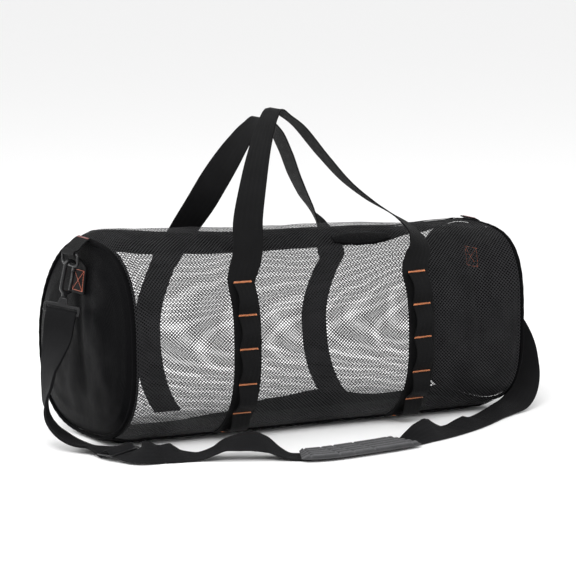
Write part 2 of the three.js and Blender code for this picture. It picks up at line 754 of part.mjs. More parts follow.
// The loose shoulder strap, from the left loop down to the floor, along it in front of the bag
// and up to the right loop. The rows are chosen places of its middle line, as shares of half the
// bag's length, of half its width and of the webbing's width, with the direction of the
// webbing's own width: degrees round from +X, and degrees up.
const strapRoute = [
  { along: -1.13, out: 0.0, up: 3.5, wide: -44, tip: -6 },
  { along: -1.15, out: 0.0, up: 3.0, wide: -68, tip: -3 },
  { along: -1.172, out: 0.0, up: 2.42, wide: -88, tip: 0 },
  { along: -1.19, out: -0.04, up: 1.8, wide: -100, tip: 0 },
  { along: -1.205, out: -0.1, up: 1.4, wide: -110, tip: 0 },
  { along: -1.212, out: -0.18, up: 1.02, wide: -120, tip: 2 },
  { along: -1.207, out: -0.29, up: 0.68, wide: -130, tip: 5 },
  { along: -1.175, out: -0.42, up: 0.36, wide: -146, tip: 9 },
  { along: -1.13, out: -0.54, up: 0.19, wide: -160, tip: 11 },
  { along: -1.093, out: -0.66, up: 0.18, wide: -168, tip: 8 },
  { along: -1.08, out: -0.82, up: 0.22, wide: -170, tip: 0 },
  { along: -1.067, out: -0.98, up: 0.26, wide: -171, tip: -8 },
  { along: -1.054, out: -1.14, up: 0.29, wide: -168, tip: -16 },
  { along: -1.03, out: -1.25, up: 0.33, wide: -142, tip: -28 },
  { along: -0.985, out: -1.275, up: 0.33, wide: -112, tip: -34 },
  { along: -0.932, out: -1.27, up: 0.24, wide: -100, tip: -22 },
  { along: -0.883, out: -1.3, up: 0.24, wide: -98, tip: -28 },
  { along: -0.828, out: -1.305, up: 0.12, wide: -100, tip: -10 },
  { along: -0.77, out: -1.34, up: 0.09, wide: -112, tip: -2 },
  { along: -0.715, out: -1.4, up: 0.25, wide: -115, tip: -4 },
  { along: -0.669, out: -1.445, up: 0.45, wide: -115, tip: -12 },
  { along: -0.62, out: -1.5, up: 0.53, wide: -115, tip: -22 },
  { along: -0.555, out: -1.567, up: 0.56, wide: -115, tip: -29 },
  { along: -0.507, out: -1.605, up: 0.44, wide: -115, tip: -22 },
  { along: -0.459, out: -1.66, up: 0.2, wide: -113, tip: -9 },
  { along: -0.42, out: -1.71, up: 0.07, wide: -108, tip: -2 },
  { along: -0.36, out: -1.77, up: 0.05, wide: -96, tip: 0 },
  { along: -0.28, out: -1.8, up: 0.05, wide: -86, tip: 0 },
  { along: -0.1, out: -1.76, up: 0.05, wide: -83, tip: 0 },
  { along: 0.1, out: -1.69, up: 0.05, wide: -82, tip: 0 },
  { along: 0.195, out: -1.635, up: 0.05, wide: -77, tip: 0 },
  { along: 0.24, out: -1.6, up: 0.12, wide: -74, tip: -13 },
  { along: 0.286, out: -1.573, up: 0.23, wide: -73, tip: -27 },
  { along: 0.341, out: -1.549, up: 0.31, wide: -70, tip: -38 },
  { along: 0.381, out: -1.511, up: 0.27, wide: -68, tip: -33 },
  { along: 0.432, out: -1.452, up: 0.18, wide: -66, tip: -20 },
  { along: 0.496, out: -1.381, up: 0.08, wide: -63, tip: -7 },
  { along: 0.55, out: -1.322, up: 0.08, wide: -61, tip: -6 },
  { along: 0.618, out: -1.244, up: 0.12, wide: -59, tip: -11 },
  { along: 0.686, out: -1.156, up: 0.13, wide: -56, tip: -13 },
  { along: 0.754, out: -1.054, up: 0.07, wide: -54, tip: -4 },
  { along: 0.85, out: -0.91, up: 0.07, wide: -51, tip: -3 },
  { along: 0.95, out: -0.79, up: 0.14, wide: -48, tip: -8 },
  { along: 1.05, out: -0.7, up: 0.3, wide: -46, tip: -14 },
  { along: 1.11, out: -0.63, up: 0.62, wide: -48, tip: -18 },
  { along: 1.15, out: -0.55, up: 1.05, wide: -50, tip: -14 },
  { along: 1.172, out: -0.46, up: 1.5, wide: -50, tip: -8 },
  { along: 1.185, out: -0.36, up: 2.0, wide: -47, tip: -2 },
  { along: 1.18, out: -0.25, up: 2.5, wide: -42, tip: 3 },
  { along: 1.155, out: -0.12, up: 3.05, wide: -36, tip: 7 },
];
const adjusterRow = 11;
const padRow = 28;
const barRound = (strapLoopBar / 2 + seamGap + webbingThick / 2) / Math.cos(15 * deg);
const layerApart = (webbingThick + seamGap) / 2;
const floorGap = 0.2;

// The route's rows as places, with the loops' bars at its two ends
function strapRows() {
  const rows = strapRoute.map(({ along, out, up, wide, tip }) => ({
    place: new THREE.Vector3(along * halfLength, (out * bagWidth) / 2, up * webbingWidth),
    across: new THREE.Vector3(
      Math.cos(wide * deg) * Math.cos(tip * deg),
      Math.sin(wide * deg) * Math.cos(tip * deg),
      Math.sin(tip * deg),
    ),
  }));
  const hang = (end) => [0, 2, 4].map((depth) => ({
    place: end.bar.clone().addScaledVector(end.down, depth * barRound),
    across: end.across.clone(),
  }));
  return [...hang(strapEnds.left), ...rows, ...hang(strapEnds.right).reverse()];
}

const routeRows = strapRows();
const routeCurve = new THREE.CatmullRomCurve3(routeRows.map((row) => row.place), false, "centripetal");
routeCurve.arcLengthDivisions = 1200;
const routeLength = routeCurve.getLength();

// How far along the route a row of the table lies, in millimetres
function routeReach(row) {
  const t = (row + 3) / (routeRows.length - 1);
  let [low, high] = [0, 1];
  for (let i = 0; i < 30; i += 1) {
    const middle = (low + high) / 2;
    if (routeCurve.getUtoTmapping(middle) < t) low = middle;
    else high = middle;
  }
  return low * routeLength;
}

// A frame of the strap at a distance along it, moved off its middle line along its own normal
function strapFrame(reach, off) {
  const t = routeCurve.getUtoTmapping(THREE.MathUtils.clamp(reach / routeLength, 0, 1));
  const slot = Math.min(t * (routeRows.length - 1), routeRows.length - 1 - 1e-6);
  const low = Math.floor(slot);
  const across = routeRows[low].across.clone().lerp(routeRows[low + 1].across, slot - low);
  const tangent = routeCurve.getTangent(t);
  across.addScaledVector(tangent, -across.dot(tangent)).normalize();
  const out = new THREE.Vector3().crossVectors(across, tangent);
  const place = routeCurve.getPoint(t).addScaledVector(out, off);
  const lowest = floorGap + (Math.abs(across.z) * webbingWidth + Math.abs(out.z) * webbingThick) / 2;
  place.z = Math.max(place.z, lowest);
  return { place, across, tangent, out };
}

// The webbing's turn round a loop's bar, from one of its faces over its top to the other
function roundBar(end, from) {
  return arc(0, 0, barRound, 0, 180, 6).map((point) => {
    const place = end.bar.clone().addScaledVector(end.face, from * point.x);
    return { place: place.addScaledVector(end.down, -point.y), across: end.across.clone() };
  });
}

// How far each layer lies from the middle line: round a loop's bar, and closed up further on
function layerOff(reach) {
  const fromEnd = Math.min(reach, routeLength - reach);
  return THREE.MathUtils.lerp(barRound, layerApart, THREE.MathUtils.smoothstep(fromEnd, 6, 32));
}

// The adjuster is a flat slide with two slots. The tail goes up through the first slot and ends
// over the middle bar, and the main webbing goes over it and down through the second slot.
const adjusterReach = routeReach(adjusterRow);
const adjusterSpot = strapFrame(adjusterReach, 0);
const slotReach = slotLength + adjusterBar / 2;
const layerStep = webbingThick + 2 * seamGap;
const underBar = -(adjusterThick / 2 + seamGap + webbingThick / 2);

function throughAdjuster(knots) {
  const { place, tangent, out, across } = adjusterSpot;
  return knots.map(([ahead, off]) => ({
    place: place.clone().addScaledVector(tangent, ahead).addScaledVector(out, off),
    across: across.clone(),
  }));
}

function strapFrames() {
  const clear = slotReach + adjusterBar + 2;
  const settle = 16;
  const overBar = -underBar;
  const edge = adjusterBar / 2 + seamGap;
  const tailEnd = throughAdjuster([
    [edge, overBar],
    [-edge, overBar],
    [-slotReach + seamGap, underBar - layerStep],
    [-clear, underBar - layerStep],
  ]);
  const threaded = throughAdjuster([
    [-clear, underBar],
    [-slotReach + seamGap, underBar],
    [-edge, overBar + layerStep],
    [edge, overBar + layerStep],
    [slotReach - seamGap, underBar],
    [clear, underBar],
  ]);
  const run = (from, to, steps, off) => {
    const frames = [];
    for (let i = 0; i <= steps; i += 1) {
      const reach = from + ((to - from) * i) / steps;
      frames.push(strapFrame(reach, off(reach)));
    }
    return frames;
  };
  const before = adjusterReach - clear - settle;
  const after = adjusterReach + clear + settle;
  const rightOff = (reach) => -layerOff(reach) * THREE.MathUtils.smoothstep(reach, routeLength - 90, routeLength - 40);
  const hem = 1.5;
  return [
    ...tailEnd,
    ...run(before, hem, 24, (reach) => -layerOff(reach)),
    ...roundBar(strapEnds.left, -1),
    ...run(hem, before, 24, layerOff),
    ...threaded,
    ...run(after, routeLength - hem, 96, rightOff),
    ...roundBar(strapEnds.right, -1),
    ...run(routeLength - hem, routeLength - strapHem, 4, layerOff),
  ];
}

function adjusterPlate() {
  const half = webbingWidth / 2 + seamGap + adjusterBar;
  const end = slotReach + adjusterBar;
  const corner = 3;
  const outline = [
    [half, end - corner], [half - corner, end], [corner - half, end], [-half, end - corner],
    [-half, corner - end], [corner - half, -end], [half - corner, -end], [half, corner - end],
  ].map(([x, y]) => new THREE.Vector2(x, y));
  const slots = [-1, 1].map((side) => [
    [adjusterBar - half, (side * adjusterBar) / 2], [adjusterBar - half, side * slotReach],
    [half - adjusterBar, side * slotReach], [half - adjusterBar, (side * adjusterBar) / 2],
  ].map(([x, y]) => new THREE.Vector2(x, y)));
  return plate(outline, slots, adjusterThick);
}

addPiece("shoulder_strap", webbing(strapFrames(), webbingWidth, webbingThick), looks.webbing);
const adjuster = addPiece("strap_adjuster", adjusterPlate(), looks.plastic);
adjuster.position.copy(adjusterSpot.place);
adjuster.setRotationFromMatrix(
  new THREE.Matrix4().makeBasis(adjusterSpot.across, adjusterSpot.tangent, adjusterSpot.out),
);

// The shoulder pad lies along the strap, a flat strip with soft corners.
function padFrames() {
  const steps = 14;
  const middle = routeReach(padRow);
  const frames = [];
  for (let i = 0; i <= steps; i += 1) {
    const share = i / steps;
    const fromEnd = Math.min(share, 1 - share) * padLength;
    const corner = Math.max(1 - fromEnd / padCorner, 0);
    const reach = middle + padLength * (share - 0.5);
    const frame = strapFrame(reach, webbingThick / 2 + 2 * seamGap + padThick / 2);
    frames.push({ ...frame, width: padWidth - 2 * padCorner * (1 - Math.sqrt(1 - corner * corner)) });
  }
  return frames;
}

addPiece("shoulder_pad", webbing(padFrames(), padWidth, padThick), looks.pad);

export default bag;
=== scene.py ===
"""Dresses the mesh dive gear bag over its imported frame: real net, webbing, stitching, cloth and hooks.

Sizes are in millimetres until a mesh is made. +Z is up, X runs along the bag, the front is -Y.
"""
import math

import bpy
import numpy as np
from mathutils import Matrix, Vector, noise


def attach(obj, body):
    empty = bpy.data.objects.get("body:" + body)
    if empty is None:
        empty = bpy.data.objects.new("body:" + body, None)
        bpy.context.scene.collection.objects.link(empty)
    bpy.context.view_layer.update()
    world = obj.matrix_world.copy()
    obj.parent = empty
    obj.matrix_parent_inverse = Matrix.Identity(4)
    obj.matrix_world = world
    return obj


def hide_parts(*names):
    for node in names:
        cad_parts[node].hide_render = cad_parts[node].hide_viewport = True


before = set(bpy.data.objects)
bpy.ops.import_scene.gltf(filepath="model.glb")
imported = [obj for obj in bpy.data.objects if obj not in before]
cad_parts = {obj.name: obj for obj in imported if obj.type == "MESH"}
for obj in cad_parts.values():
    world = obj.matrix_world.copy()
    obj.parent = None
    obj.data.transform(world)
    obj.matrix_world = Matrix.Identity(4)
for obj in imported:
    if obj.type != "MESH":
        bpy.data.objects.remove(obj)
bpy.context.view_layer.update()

# The barrel's sizes
HALF = 300.0
WIDTH = 292.0
HEIGHT = 272.0
WIDEST = 0.46
END_LIFT = 7.0
FOOT_DEPTH = 3.0
SEAM_GAP = 0.4
BINDING = 2.6
WALL_END = HALF - 2 * BINDING - SEAM_GAP
WHOLE = (-WALL_END, WALL_END)

# The webbing and what it holds
WEBBING = 40.0
THICK = 1.8
STAND = 0.9 + THICK / 2
DAISY_WIDTH = 27.0
DAISY_STAND = 9.0
STATION = 133.0
SEWN_LOW = 36.0
TAB_WIDTH = 38.0
TAB_REACH = 19.0
RING_THICK = 4.0
RING_WIDE = 50.0
RING_TALL = 20.0
HOOK_BAR = 5.0
HOOK_WIDE = 18.0
HOOK_TALL = 44.0
HOOK_LEAN = 12.5
HOOK_SWIVEL = 33.0
SWIVEL_TALL = 8.0
LOOP_BAR = 4.5
LOOP_TALL = 14.0
ADJUSTER_BAR = 3.6
ADJUSTER_THICK = 2.0
SLOT = 10.8
PAD_LENGTH = 172.0
PAD_WIDTH = 60.0
PAD_CORNER = 7.0
PAD_RIB = 11.0
PAD_SEAMS = [9, 41, 62, 96, 158]
STRAP_HEM = 48.0
FLOOR_GAP = 0.2

# The cloth, the smooth strip and the thread
CLOTH = 1.2
SEAM_TAPE = 10.0
PATCH_FROM = 34.0
PATCH_TO = 122.0
PATCH_TURN = 149.0
PATCH_HALF = 6.0
STITCH = 2.6
STITCH_GAP = 0.7
THREAD = 0.34
TACK_THREAD = 0.6
TACK_TALL = 2.2
TACK_LEAN = {-1: 1.0, 1: 4.0}

MIDDLE = HEIGHT * WIDEST
ENDS = (("left", -1), ("right", 1))
SIDEWAYS = np.array([0.0, 1.0, 0.0])

# Section shapes along the barrel: along, height, lift, front and back squareness, base edges
STATIONS = np.array([
    (-1.0, 0.985, 1.0, 2.9, 1.85, 33, 20),
    (-0.9, 1.026, 0.0, 2.8, 1.75, 33, 20),
    (-0.5, 1.012, 0.0, 2.5, 1.4, 33, 20),
    (-0.2, 0.992, 0.0, 2.5, 1.38, 33, 26),
    (0.1, 0.987, 0.0, 2.5, 1.38, 33, 36),
    (0.38, 0.978, 0.0, 2.6, 1.4, 33, 40),
    (0.65, 0.958, 0.0, 2.8, 1.5, 33, 31),
    (0.9, 0.952, 0.0, 3.3, 1.95, 33, 32),
    (1.0, 0.952, 1.0, 3.6, 2.15, 33, 32),
])
BOTTOM_SQUARE = 2.6

# Folds of the net: along, turn, reach, spread, depth
DENTS = [
    (-0.72, 120, 0.2, 26, 3),
    (0.02, 128, 0.24, 24, 5),
    (0.74, 118, 0.18, 26, 3),
    (0.0, 252, 0.3, 26, 5),
]


def read_table(column, at):
    """Reads a column of STATIONS smoothly at places along the barrel."""
    xs, ys = STATIONS[:, 0], STATIONS[:, column]
    at = np.clip(at, xs[0], xs[-1])
    high = np.clip(np.searchsorted(xs, at), 1, len(xs) - 1)
    t = (at - xs[high - 1]) / (xs[high] - xs[high - 1])
    return ys[high - 1] + (ys[high] - ys[high - 1]) * t * t * (3 - 2 * t)


def skin(along, turn):
    """Points of the barrel's skin. The turn is in degrees from straight down, through the front."""
    along, turn = np.broadcast_arrays(np.asarray(along, float), np.asarray(turn, float))
    share = along / HALF
    height = HEIGHT * read_table(1, share)
    lift = END_LIFT * read_table(2, share)
    middle = height * WIDEST
    out_y, out_z = -np.sin(np.radians(turn)), -np.cos(np.radians(turn))
    top = np.where(out_y < 0, read_table(3, share), read_table(4, share))
    power = np.where(out_z < 0, BOTTOM_SQUARE, top)
    reach = np.where(out_z < 0, middle + FOOT_DEPTH - lift, height - middle)
    side = np.abs(out_y / (WIDTH / 2)) ** power
    rise = np.abs(out_z / reach) ** power
    radius = (side + rise) ** (-1 / power)
    for at, dent_turn, across, spread, depth in DENTS:
        radius = radius - depth * np.exp(-((share - at) / across) ** 2 - ((turn - dent_turn) / spread) ** 2)
    return np.stack([along, out_y * radius, np.maximum(middle + out_z * radius, 0)], axis=-1)


def wall(along, turn, stand):
    """Skin points stood off along the section's own normal."""
    along, turn = np.broadcast_arrays(np.asarray(along, float), np.asarray(turn, float))
    tangent = skin(along, turn + 1.5) - skin(along, turn - 1.5)
    tangent /= np.linalg.norm(tangent, axis=-1, keepdims=True)
    normal = np.stack([np.zeros_like(tangent[..., 0]), -tangent[..., 2], tangent[..., 1]], axis=-1)
    return skin(along, turn) + normal * np.asarray(stand)[..., None]


def as_turn(length):
    """About how many degrees a length spans round the barrel."""
    return math.degrees(length / (HEIGHT * 0.5))


ZIP_AT = 204.5
ZIP_TEETH = 5.0
ZIP_TAPE = 23.0
ZIP_HALF = as_turn(ZIP_TEETH / 2)
TAPE_TURN = as_turn(ZIP_TAPE)
GAP_TURN = as_turn(SEAM_GAP)
ZIP_LOW = ZIP_AT - ZIP_HALF - GAP_TURN - TAPE_TURN
ZIP_HIGH = ZIP_AT + ZIP_HALF + GAP_TURN + TAPE_TURN


class Look:
    """A procedural material round one Principled shader."""

    def __init__(self, name, colour, roughness, **constants):
        self.material = bpy.data.materials.new(name)
        self.material.use_nodes = True
        self.tree = self.material.node_tree
        self.shader = self.tree.nodes["Principled BSDF"]
        self.set("Base Color", (*colour, 1))
        self.set("Roughness", roughness)
        for key, value in constants.items():
            self.set(key.replace("_", " "), value)

    def set(self, socket, value):
        self.shader.inputs[socket].default_value = value

    def node(self, kind, inputs=None, **settings):
        made = self.tree.nodes.new(kind)
        for key, value in settings.items():
            setattr(made, key, value)
        for key, value in (inputs or {}).items():
            if isinstance(value, bpy.types.NodeSocket):
                self.tree.links.new(value, made.inputs[key])
            else:
                made.inputs[key].default_value = value
        return made

    def math(self, operation, *values):
        made = self.node("ShaderNodeMath", dict(enumerate(values)), operation=operation)
        return made.outputs[0]

    def total(self, *parts):
        """The sum of values, each times its weight."""
        result = 0.0
        for value, weight in parts:
            result = self.math("MULTIPLY_ADD", value, weight, result)
        return result

    def sine(self, value, length):
        """A wave from -1 to 1 that repeats after this length."""
        return self.math("SINE", self.math("MULTIPLY", value, 2 * math.pi / length))

    def axes(self, source="Object"):
        """The coordinates in millimetres."""
        scale = 1.0 if source == "UV" else 1000.0
        where = self.node("ShaderNodeTexCoord").outputs[source]
        scaled = self.node("ShaderNodeVectorMath", {0: where, "Scale": scale}, operation="SCALE").outputs[0]
        return scaled, self.node("ShaderNodeSeparateXYZ", {0: scaled}).outputs

    def cloud(self, where, size, detail=3.0):
        """Soft noise from 0 to 1, with blotches of about this size."""
        inputs = {"Vector": where, "Scale": 1.0 / size, "Detail": detail}
        return self.node("ShaderNodeTexNoise", inputs).outputs["Fac"]

    def shades(self, factor, dark, light):
        """Colours between dark and light by a factor from 0 to 1."""
        ramp = self.node("ShaderNodeValToRGB", {0: factor})
        ramp.color_ramp.elements[0].color = (*dark, 1)
        ramp.color_ramp.elements[1].color = (*light, 1)
        self.tree.links.new(ramp.outputs[0], self.shader.inputs["Base Color"])

    def roughness(self, factor, low, high):
        inputs = {"Value": factor, "To Min": low, "To Max": high}
        made = self.node("ShaderNodeMapRange", inputs)
        self.tree.links.new(made.outputs[0], self.shader.inputs["Roughness"])

    def bump(self, height, distance, strength=1.0):
        inputs = {"Height": height, "Distance": distance, "Strength": strength}
        made = self.node("ShaderNodeBump", inputs)
        self.tree.links.new(made.outputs[0], self.shader.inputs["Normal"])


def webbing_look(name, dark, light, pitch=1.5):
    """Woven webbing: fine chevrons that run along the strap, with painted shade in their grooves, worn paler
    in blotches.
    """
    look = Look(name, light, 0.62, Sheen_Weight=0.01, Sheen_Roughness=0.5, Specular_IOR_Level=0.06)
    where, (u, v, _) = look.axes("UV")
    zigzag = look.math("PINGPONG", u, 3.4)
    chevron = look.sine(look.total((zigzag, 1.0), (v, 1.0)), pitch)
    rib = look.sine(v, pitch * 0.6)
    look.bump(look.total((chevron, 0.6), (rib, 0.25)), 0.00022, 0.8)
    # Painted shade: the chevron wave also darkens the colour in the weave's grooves. The cloud gives the worn
    # blotches.
    look.shades(look.total((look.cloud(where, 24), 0.75), (chevron, 0.16)), dark, light)
    look.roughness(look.cloud(where, 12), 0.52, 0.74)
    return look.material


def cloth_look(name, dark, light, roughness=0.5, weave=0.9):
    """Coated plain-weave cloth, nearly matt."""
    look = Look(name, light, roughness, Specular_IOR_Level=0.015)
    where, (x, y, z) = look.axes()
    warp = look.sine(look.total((x, 1.0), (y, 0.25)), weave)
    weft = look.sine(look.total((z, 1.0), (y, 0.93)), weave)
    grain = look.math("MULTIPLY", warp, weft)
    look.bump(look.total((grain, 0.5), (look.cloud(where, 9), 1.4)), 0.0002, 0.7)
    look.shades(look.cloud(where, 55), dark, light)
    look.roughness(look.cloud(where, 7), roughness - 0.07, roughness + 0.1)
    return look.material


def yarn_look():
    """The net's yarn: dark, with a twisted surface."""
    look = Look("net_yarn", (0.02, 0.02, 0.022), 0.5, Specular_IOR_Level=0.04)
    where, (x, y, z) = look.axes()
    look.bump(look.sine(look.total((x, 1.0), (y, 1.0), (z, 1.3)), 0.7), 0.00012, 0.7)
    look.shades(look.cloud(where, 30), (0.014, 0.014, 0.015), (0.04, 0.04, 0.042))
    return look.material


def plastic_look(name, dark, light, roughness):
    """Moulded plastic with a fine grain and rubbed patches."""
    look = Look(name, light, roughness, Specular_IOR_Level=0.32)
    where, _ = look.axes()
    look.bump(look.cloud(where, 0.6, 2.0), 0.00008, 0.5)
    look.shades(look.cloud(where, 14), dark, light)
    look.roughness(look.cloud(where, 5), roughness - 0.1, roughness + 0.1)
    return look.material


def thread_look(name, dark, light):
    """Sewing thread with its twist."""
    look = Look(name, light, 0.45, Sheen_Weight=0.3)
    where, (x, _, z) = look.axes()
    look.bump(look.sine(look.total((x, 1.0), (z, 1.0)), 0.5), 0.0001, 0.6)
    look.shades(look.cloud(where, 4), dark, light)
    return look.material


def pad_look():
    """Grey ribbed cloth of the shoulder pad, with painted shade in the grooves between its ribs."""
    look = Look("pad_cloth", (0.05, 0.05, 0.052), 0.75, Sheen_Weight=0.08, Sheen_Roughness=0.5,
                Specular_IOR_Level=0.2)
    where, (u, v, _) = look.axes("UV")
    grid = look.math("MULTIPLY", look.sine(u, 1.5), look.sine(v, 1.5))
    look.bump(grid, 0.00025, 0.8)
    # Painted shade: the colour follows the ribs, paler on their crests and darker in the grooves between
    # them.
    rib_shade = look.math("COSINE", look.math("MULTIPLY", u, 2 * math.pi / PAD_RIB))
    factor = look.math("MULTIPLY_ADD", look.cloud(where, 20), 0.5, look.math("MULTIPLY_ADD", rib_shade, 0.4, 0.3))
    look.shades(factor, (0.01, 0.01, 0.011), (0.1, 0.1, 0.105))
    return look.material


LOOKS = {
    "net": yarn_look(),
    "cloth": cloth_look("end_cloth", (0.0012, 0.0012, 0.0014), (0.0035, 0.0035, 0.004), 0.36),
    "tape": cloth_look("tape_cloth", (0.0015, 0.0015, 0.0017), (0.004, 0.004, 0.0044), 0.6, 1.3),
    "webbing": webbing_look("webbing_weave", (0.0022, 0.0022, 0.0024), (0.0075, 0.0075, 0.008)),
    "strap": webbing_look("strap_weave", (0.004, 0.004, 0.0044), (0.013, 0.013, 0.014), 1.7),
    "pad": pad_look(),
    "plastic": plastic_look("hook_plastic", (0.003, 0.003, 0.0035), (0.009, 0.009, 0.01), 0.3),
    "zip": plastic_look("zip_plastic", (0.007, 0.007, 0.008), (0.018, 0.018, 0.02), 0.42),
    "orange": thread_look("orange_thread", (0.78, 0.2, 0.05), (0.95, 0.34, 0.12)),
    # A darker copy of the orange thread: painted shade for the tabs' crossed squares, which lie partly in
    # shadow or behind the end cloth.
    "orange_shade": thread_look("orange_thread_in_shade", (0.45, 0.07, 0.025), (0.65, 0.14, 0.05)),
    # The darkest copy of the orange thread: painted shade for the rim tacks.
    "red": thread_look("orange_thread_in_deep_shade", (0.12, 0.012, 0.008), (0.24, 0.03, 0.02)),
}


def add_piece(name, verts, faces, look, body="bag", uv=None, replaces=()):
    """Makes one piece from millimetre points."""
    verts = np.asarray(verts, float)
    mesh = bpy.data.meshes.new(name)
    mesh.from_pydata((verts / 1000).tolist(), [], [list(map(int, face)) for face in faces])
    mesh.update()
    if uv is not None:
        corners = np.zeros(len(mesh.loops), dtype=np.int32)
        mesh.loops.foreach_get("vertex_index", corners)
        layer = mesh.uv_layers.new(name="UVMap")
        layer.data.foreach_set("uv", np.asarray(uv, np.float32)[corners].ravel())
    mesh.polygons.foreach_set("use_smooth", [True] * len(mesh.polygons))
    mesh.materials.append(LOOKS[look])
    piece = bpy.data.objects.new(name, mesh)
    bpy.context.scene.collection.objects.link(piece)
    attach(piece, body)
    if replaces:
        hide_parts(*replaces)
    return piece


def outwards(verts, faces):
    """The faces, flipped if the closed form that they make is inside out."""
    verts = np.asarray(verts)
    volume = 0.0
    for face in faces:
        a = verts[face[0]]
        for k in range(1, len(face) - 1):
            volume += np.dot(a, np.cross(verts[face[k]], verts[face[k + 1]]))
    return faces if volume > 0 else [face[::-1] for face in faces]


def unit(vector):
    return vector / np.linalg.norm(vector)


def distances(points):
    """How far along a line each of its points lies."""
    return np.concatenate([[0], np.cumsum(np.linalg.norm(np.diff(points, axis=0), axis=1))])


def point_at(points, lengths, at):
    """The point of a line at a distance along it."""
    return np.array([np.interp(at, lengths, points[:, axis]) for axis in range(3)])


def smoothstep(value, low, high):
    t = np.clip((value - low) / (high - low), 0, 1)
    return t * t * (3 - 2 * t)


def clouds(points, size, seed):
    """Soft noise from about -1 to 1 at each point."""
    flat = points.reshape(-1, 3)
    offset = Vector((seed * 7.3, seed * 3.1, seed * 5.7))
    values = [noise.noise(Vector(p) / size + offset) for p in flat.tolist()]
    return np.array(values).reshape(points.shape[:-1]) * 1.6


def shell(outer, inner):
    """A closed sheet between two grids of points."""
    rows, columns = outer.shape[:2]
    layer = rows * columns
    verts = np.concatenate([outer.reshape(-1, 3), inner.reshape(-1, 3)])
    faces = []
    for i in range(rows - 1):
        for j in range(columns - 1):
            a = i * columns + j
            faces.append([a, a + columns, a + columns + 1, a + 1])
            faces.append([layer + a, layer + a + 1, layer + a + columns + 1, layer + a + columns])
    edge = list(range(columns))
    edge += [i * columns + columns - 1 for i in range(1, rows)]
    edge += [(rows - 1) * columns + j for j in range(columns - 2, -1, -1)]
    edge += [i * columns for i in range(rows - 2, 0, -1)]
    for a, b in zip(edge, edge[1:] + edge[:1]):
        faces.append([a, b, layer + b, layer + a])
    return verts, outwards(verts, faces)


def wall_grid(x_from, x_to, low, high, stand, steps_along, steps_round):
    """A grid of wall points between two turns, and its along and turn values."""
    along = np.linspace(x_from, x_to, steps_along + 1)[:, None]
    v = np.linspace(0, 1, steps_round + 1)[None, :]
    share = along / HALF
    turn = low(share) + (high(share) - low(share)) * v
    along = np.broadcast_to(along, turn.shape)
    return wall(along, turn, np.full(turn.shape, float(stand))), along, turn


def wall_sheet(name, ends, low, high, stands, steps, floors=(-math.inf, -math.inf), look="tape", nodes=()):
    """A thin closed sheet on the wall, with its outer and inner stand and their lowest heights."""
    layers = []
    for stand, lowest in zip(stands, floors):
        grid, _, _ = wall_grid(*ends, low, high, stand, *steps)
        grid[..., 2] = np.maximum(grid[..., 2], lowest)
        layers.append(grid)
    add_piece(name, *shell(*layers), look, replaces=nodes)


# The net: a lattice of yarns whose crossings lie half a cell apart, on the wall's own curve
CELL_ALONG = 5.2
CELL_ROUND = 4.7
YARN = 0.92
YARN_TWIST = 0.06
NET_DEPTH = 0.9
NET_LOWEST = 0.3


def net_sheet(name, low, high, node):
    """One panel of real net between two edges."""
    chart = np.linspace(0, 360, 1441)
    ring = skin(np.zeros_like(chart), chart)
    length = distances(ring)
    span_low = np.interp(min(low(np.linspace(-1, 1, 60))), chart, length)
    span_high = np.interp(max(high(np.linspace(-1, 1, 60))), chart, length)
    columns = int(2 * WALL_END / (CELL_ALONG / 2)) + 1
    rows = int((span_high - span_low) / (CELL_ROUND / 2)) + 1
    i, j = np.meshgrid(np.arange(columns), np.arange(rows), indexing="ij")
    x = -WALL_END + i * CELL_ALONG / 2
    s = span_low + j * CELL_ROUND / 2
    turn = np.interp(s, length, chart)
    share = x / HALF
    there = ((i + j) % 2 == 0) & (turn >= low(share)) & (turn <= high(share))
    index = np.full(there.shape, -1)
    index[there] = np.arange(there.sum())
    x, s = x[there], s[there]
    reach = YARN / math.sqrt(2)
    verts = []
    for dx, ds, lift in ((reach, 0, 1), (0, reach, -1), (-reach, 0, 1), (0, -reach, -1)):
        at = np.interp(s + ds, length, chart)
        place_x = np.clip(x + dx, -WALL_END, WALL_END)
        verts.append(wall(place_x, at, np.full(at.shape, lift * YARN_TWIST - NET_DEPTH)))
    verts = np.stack(verts, axis=1)
    ripple = clouds(verts[:, 0], 46, 1) * 0.9 + clouds(verts[:, 0], 17, 2) * 0.35
    out = verts[:, 0] - np.array([0, 0, MIDDLE])
    out[:, 0] = 0
    out /= np.linalg.norm(out, axis=1, keepdims=True)
    verts += (out * ripple[:, None])[:, None, :]
    verts[..., 2] = np.maximum(verts[..., 2], NET_LOWEST)
    east, north, west, south = (4 * np.arange(len(x)) + k for k in range(4))
    faces = [np.stack([east, north, west, south], axis=1)]
    for step, near, far in ((1, (0, 1), (3, 2)), (-1, (3, 0), (2, 1))):
        here = index[:-1, max(0, -step):index.shape[1] - max(0, step)]
        there_too = index[1:, max(0, step):index.shape[1] + min(0, step)]
        both = (here >= 0) & (there_too >= 0)
        a, b = here[both], there_too[both]
        faces.append(np.stack([4 * a + near[0], 4 * b + far[0], 4 * b + far[1], 4 * a + near[1]], axis=1))
    faces = np.concatenate(faces).tolist()
    add_piece(name, verts.reshape(-1, 3), faces, "net", replaces=(node,))


def base_front(share):
    return read_table(5, share)


def base_back(share):
    return 360 - read_table(6, share)


def even(value):
    return lambda share: np.full(np.shape(share), float(value))


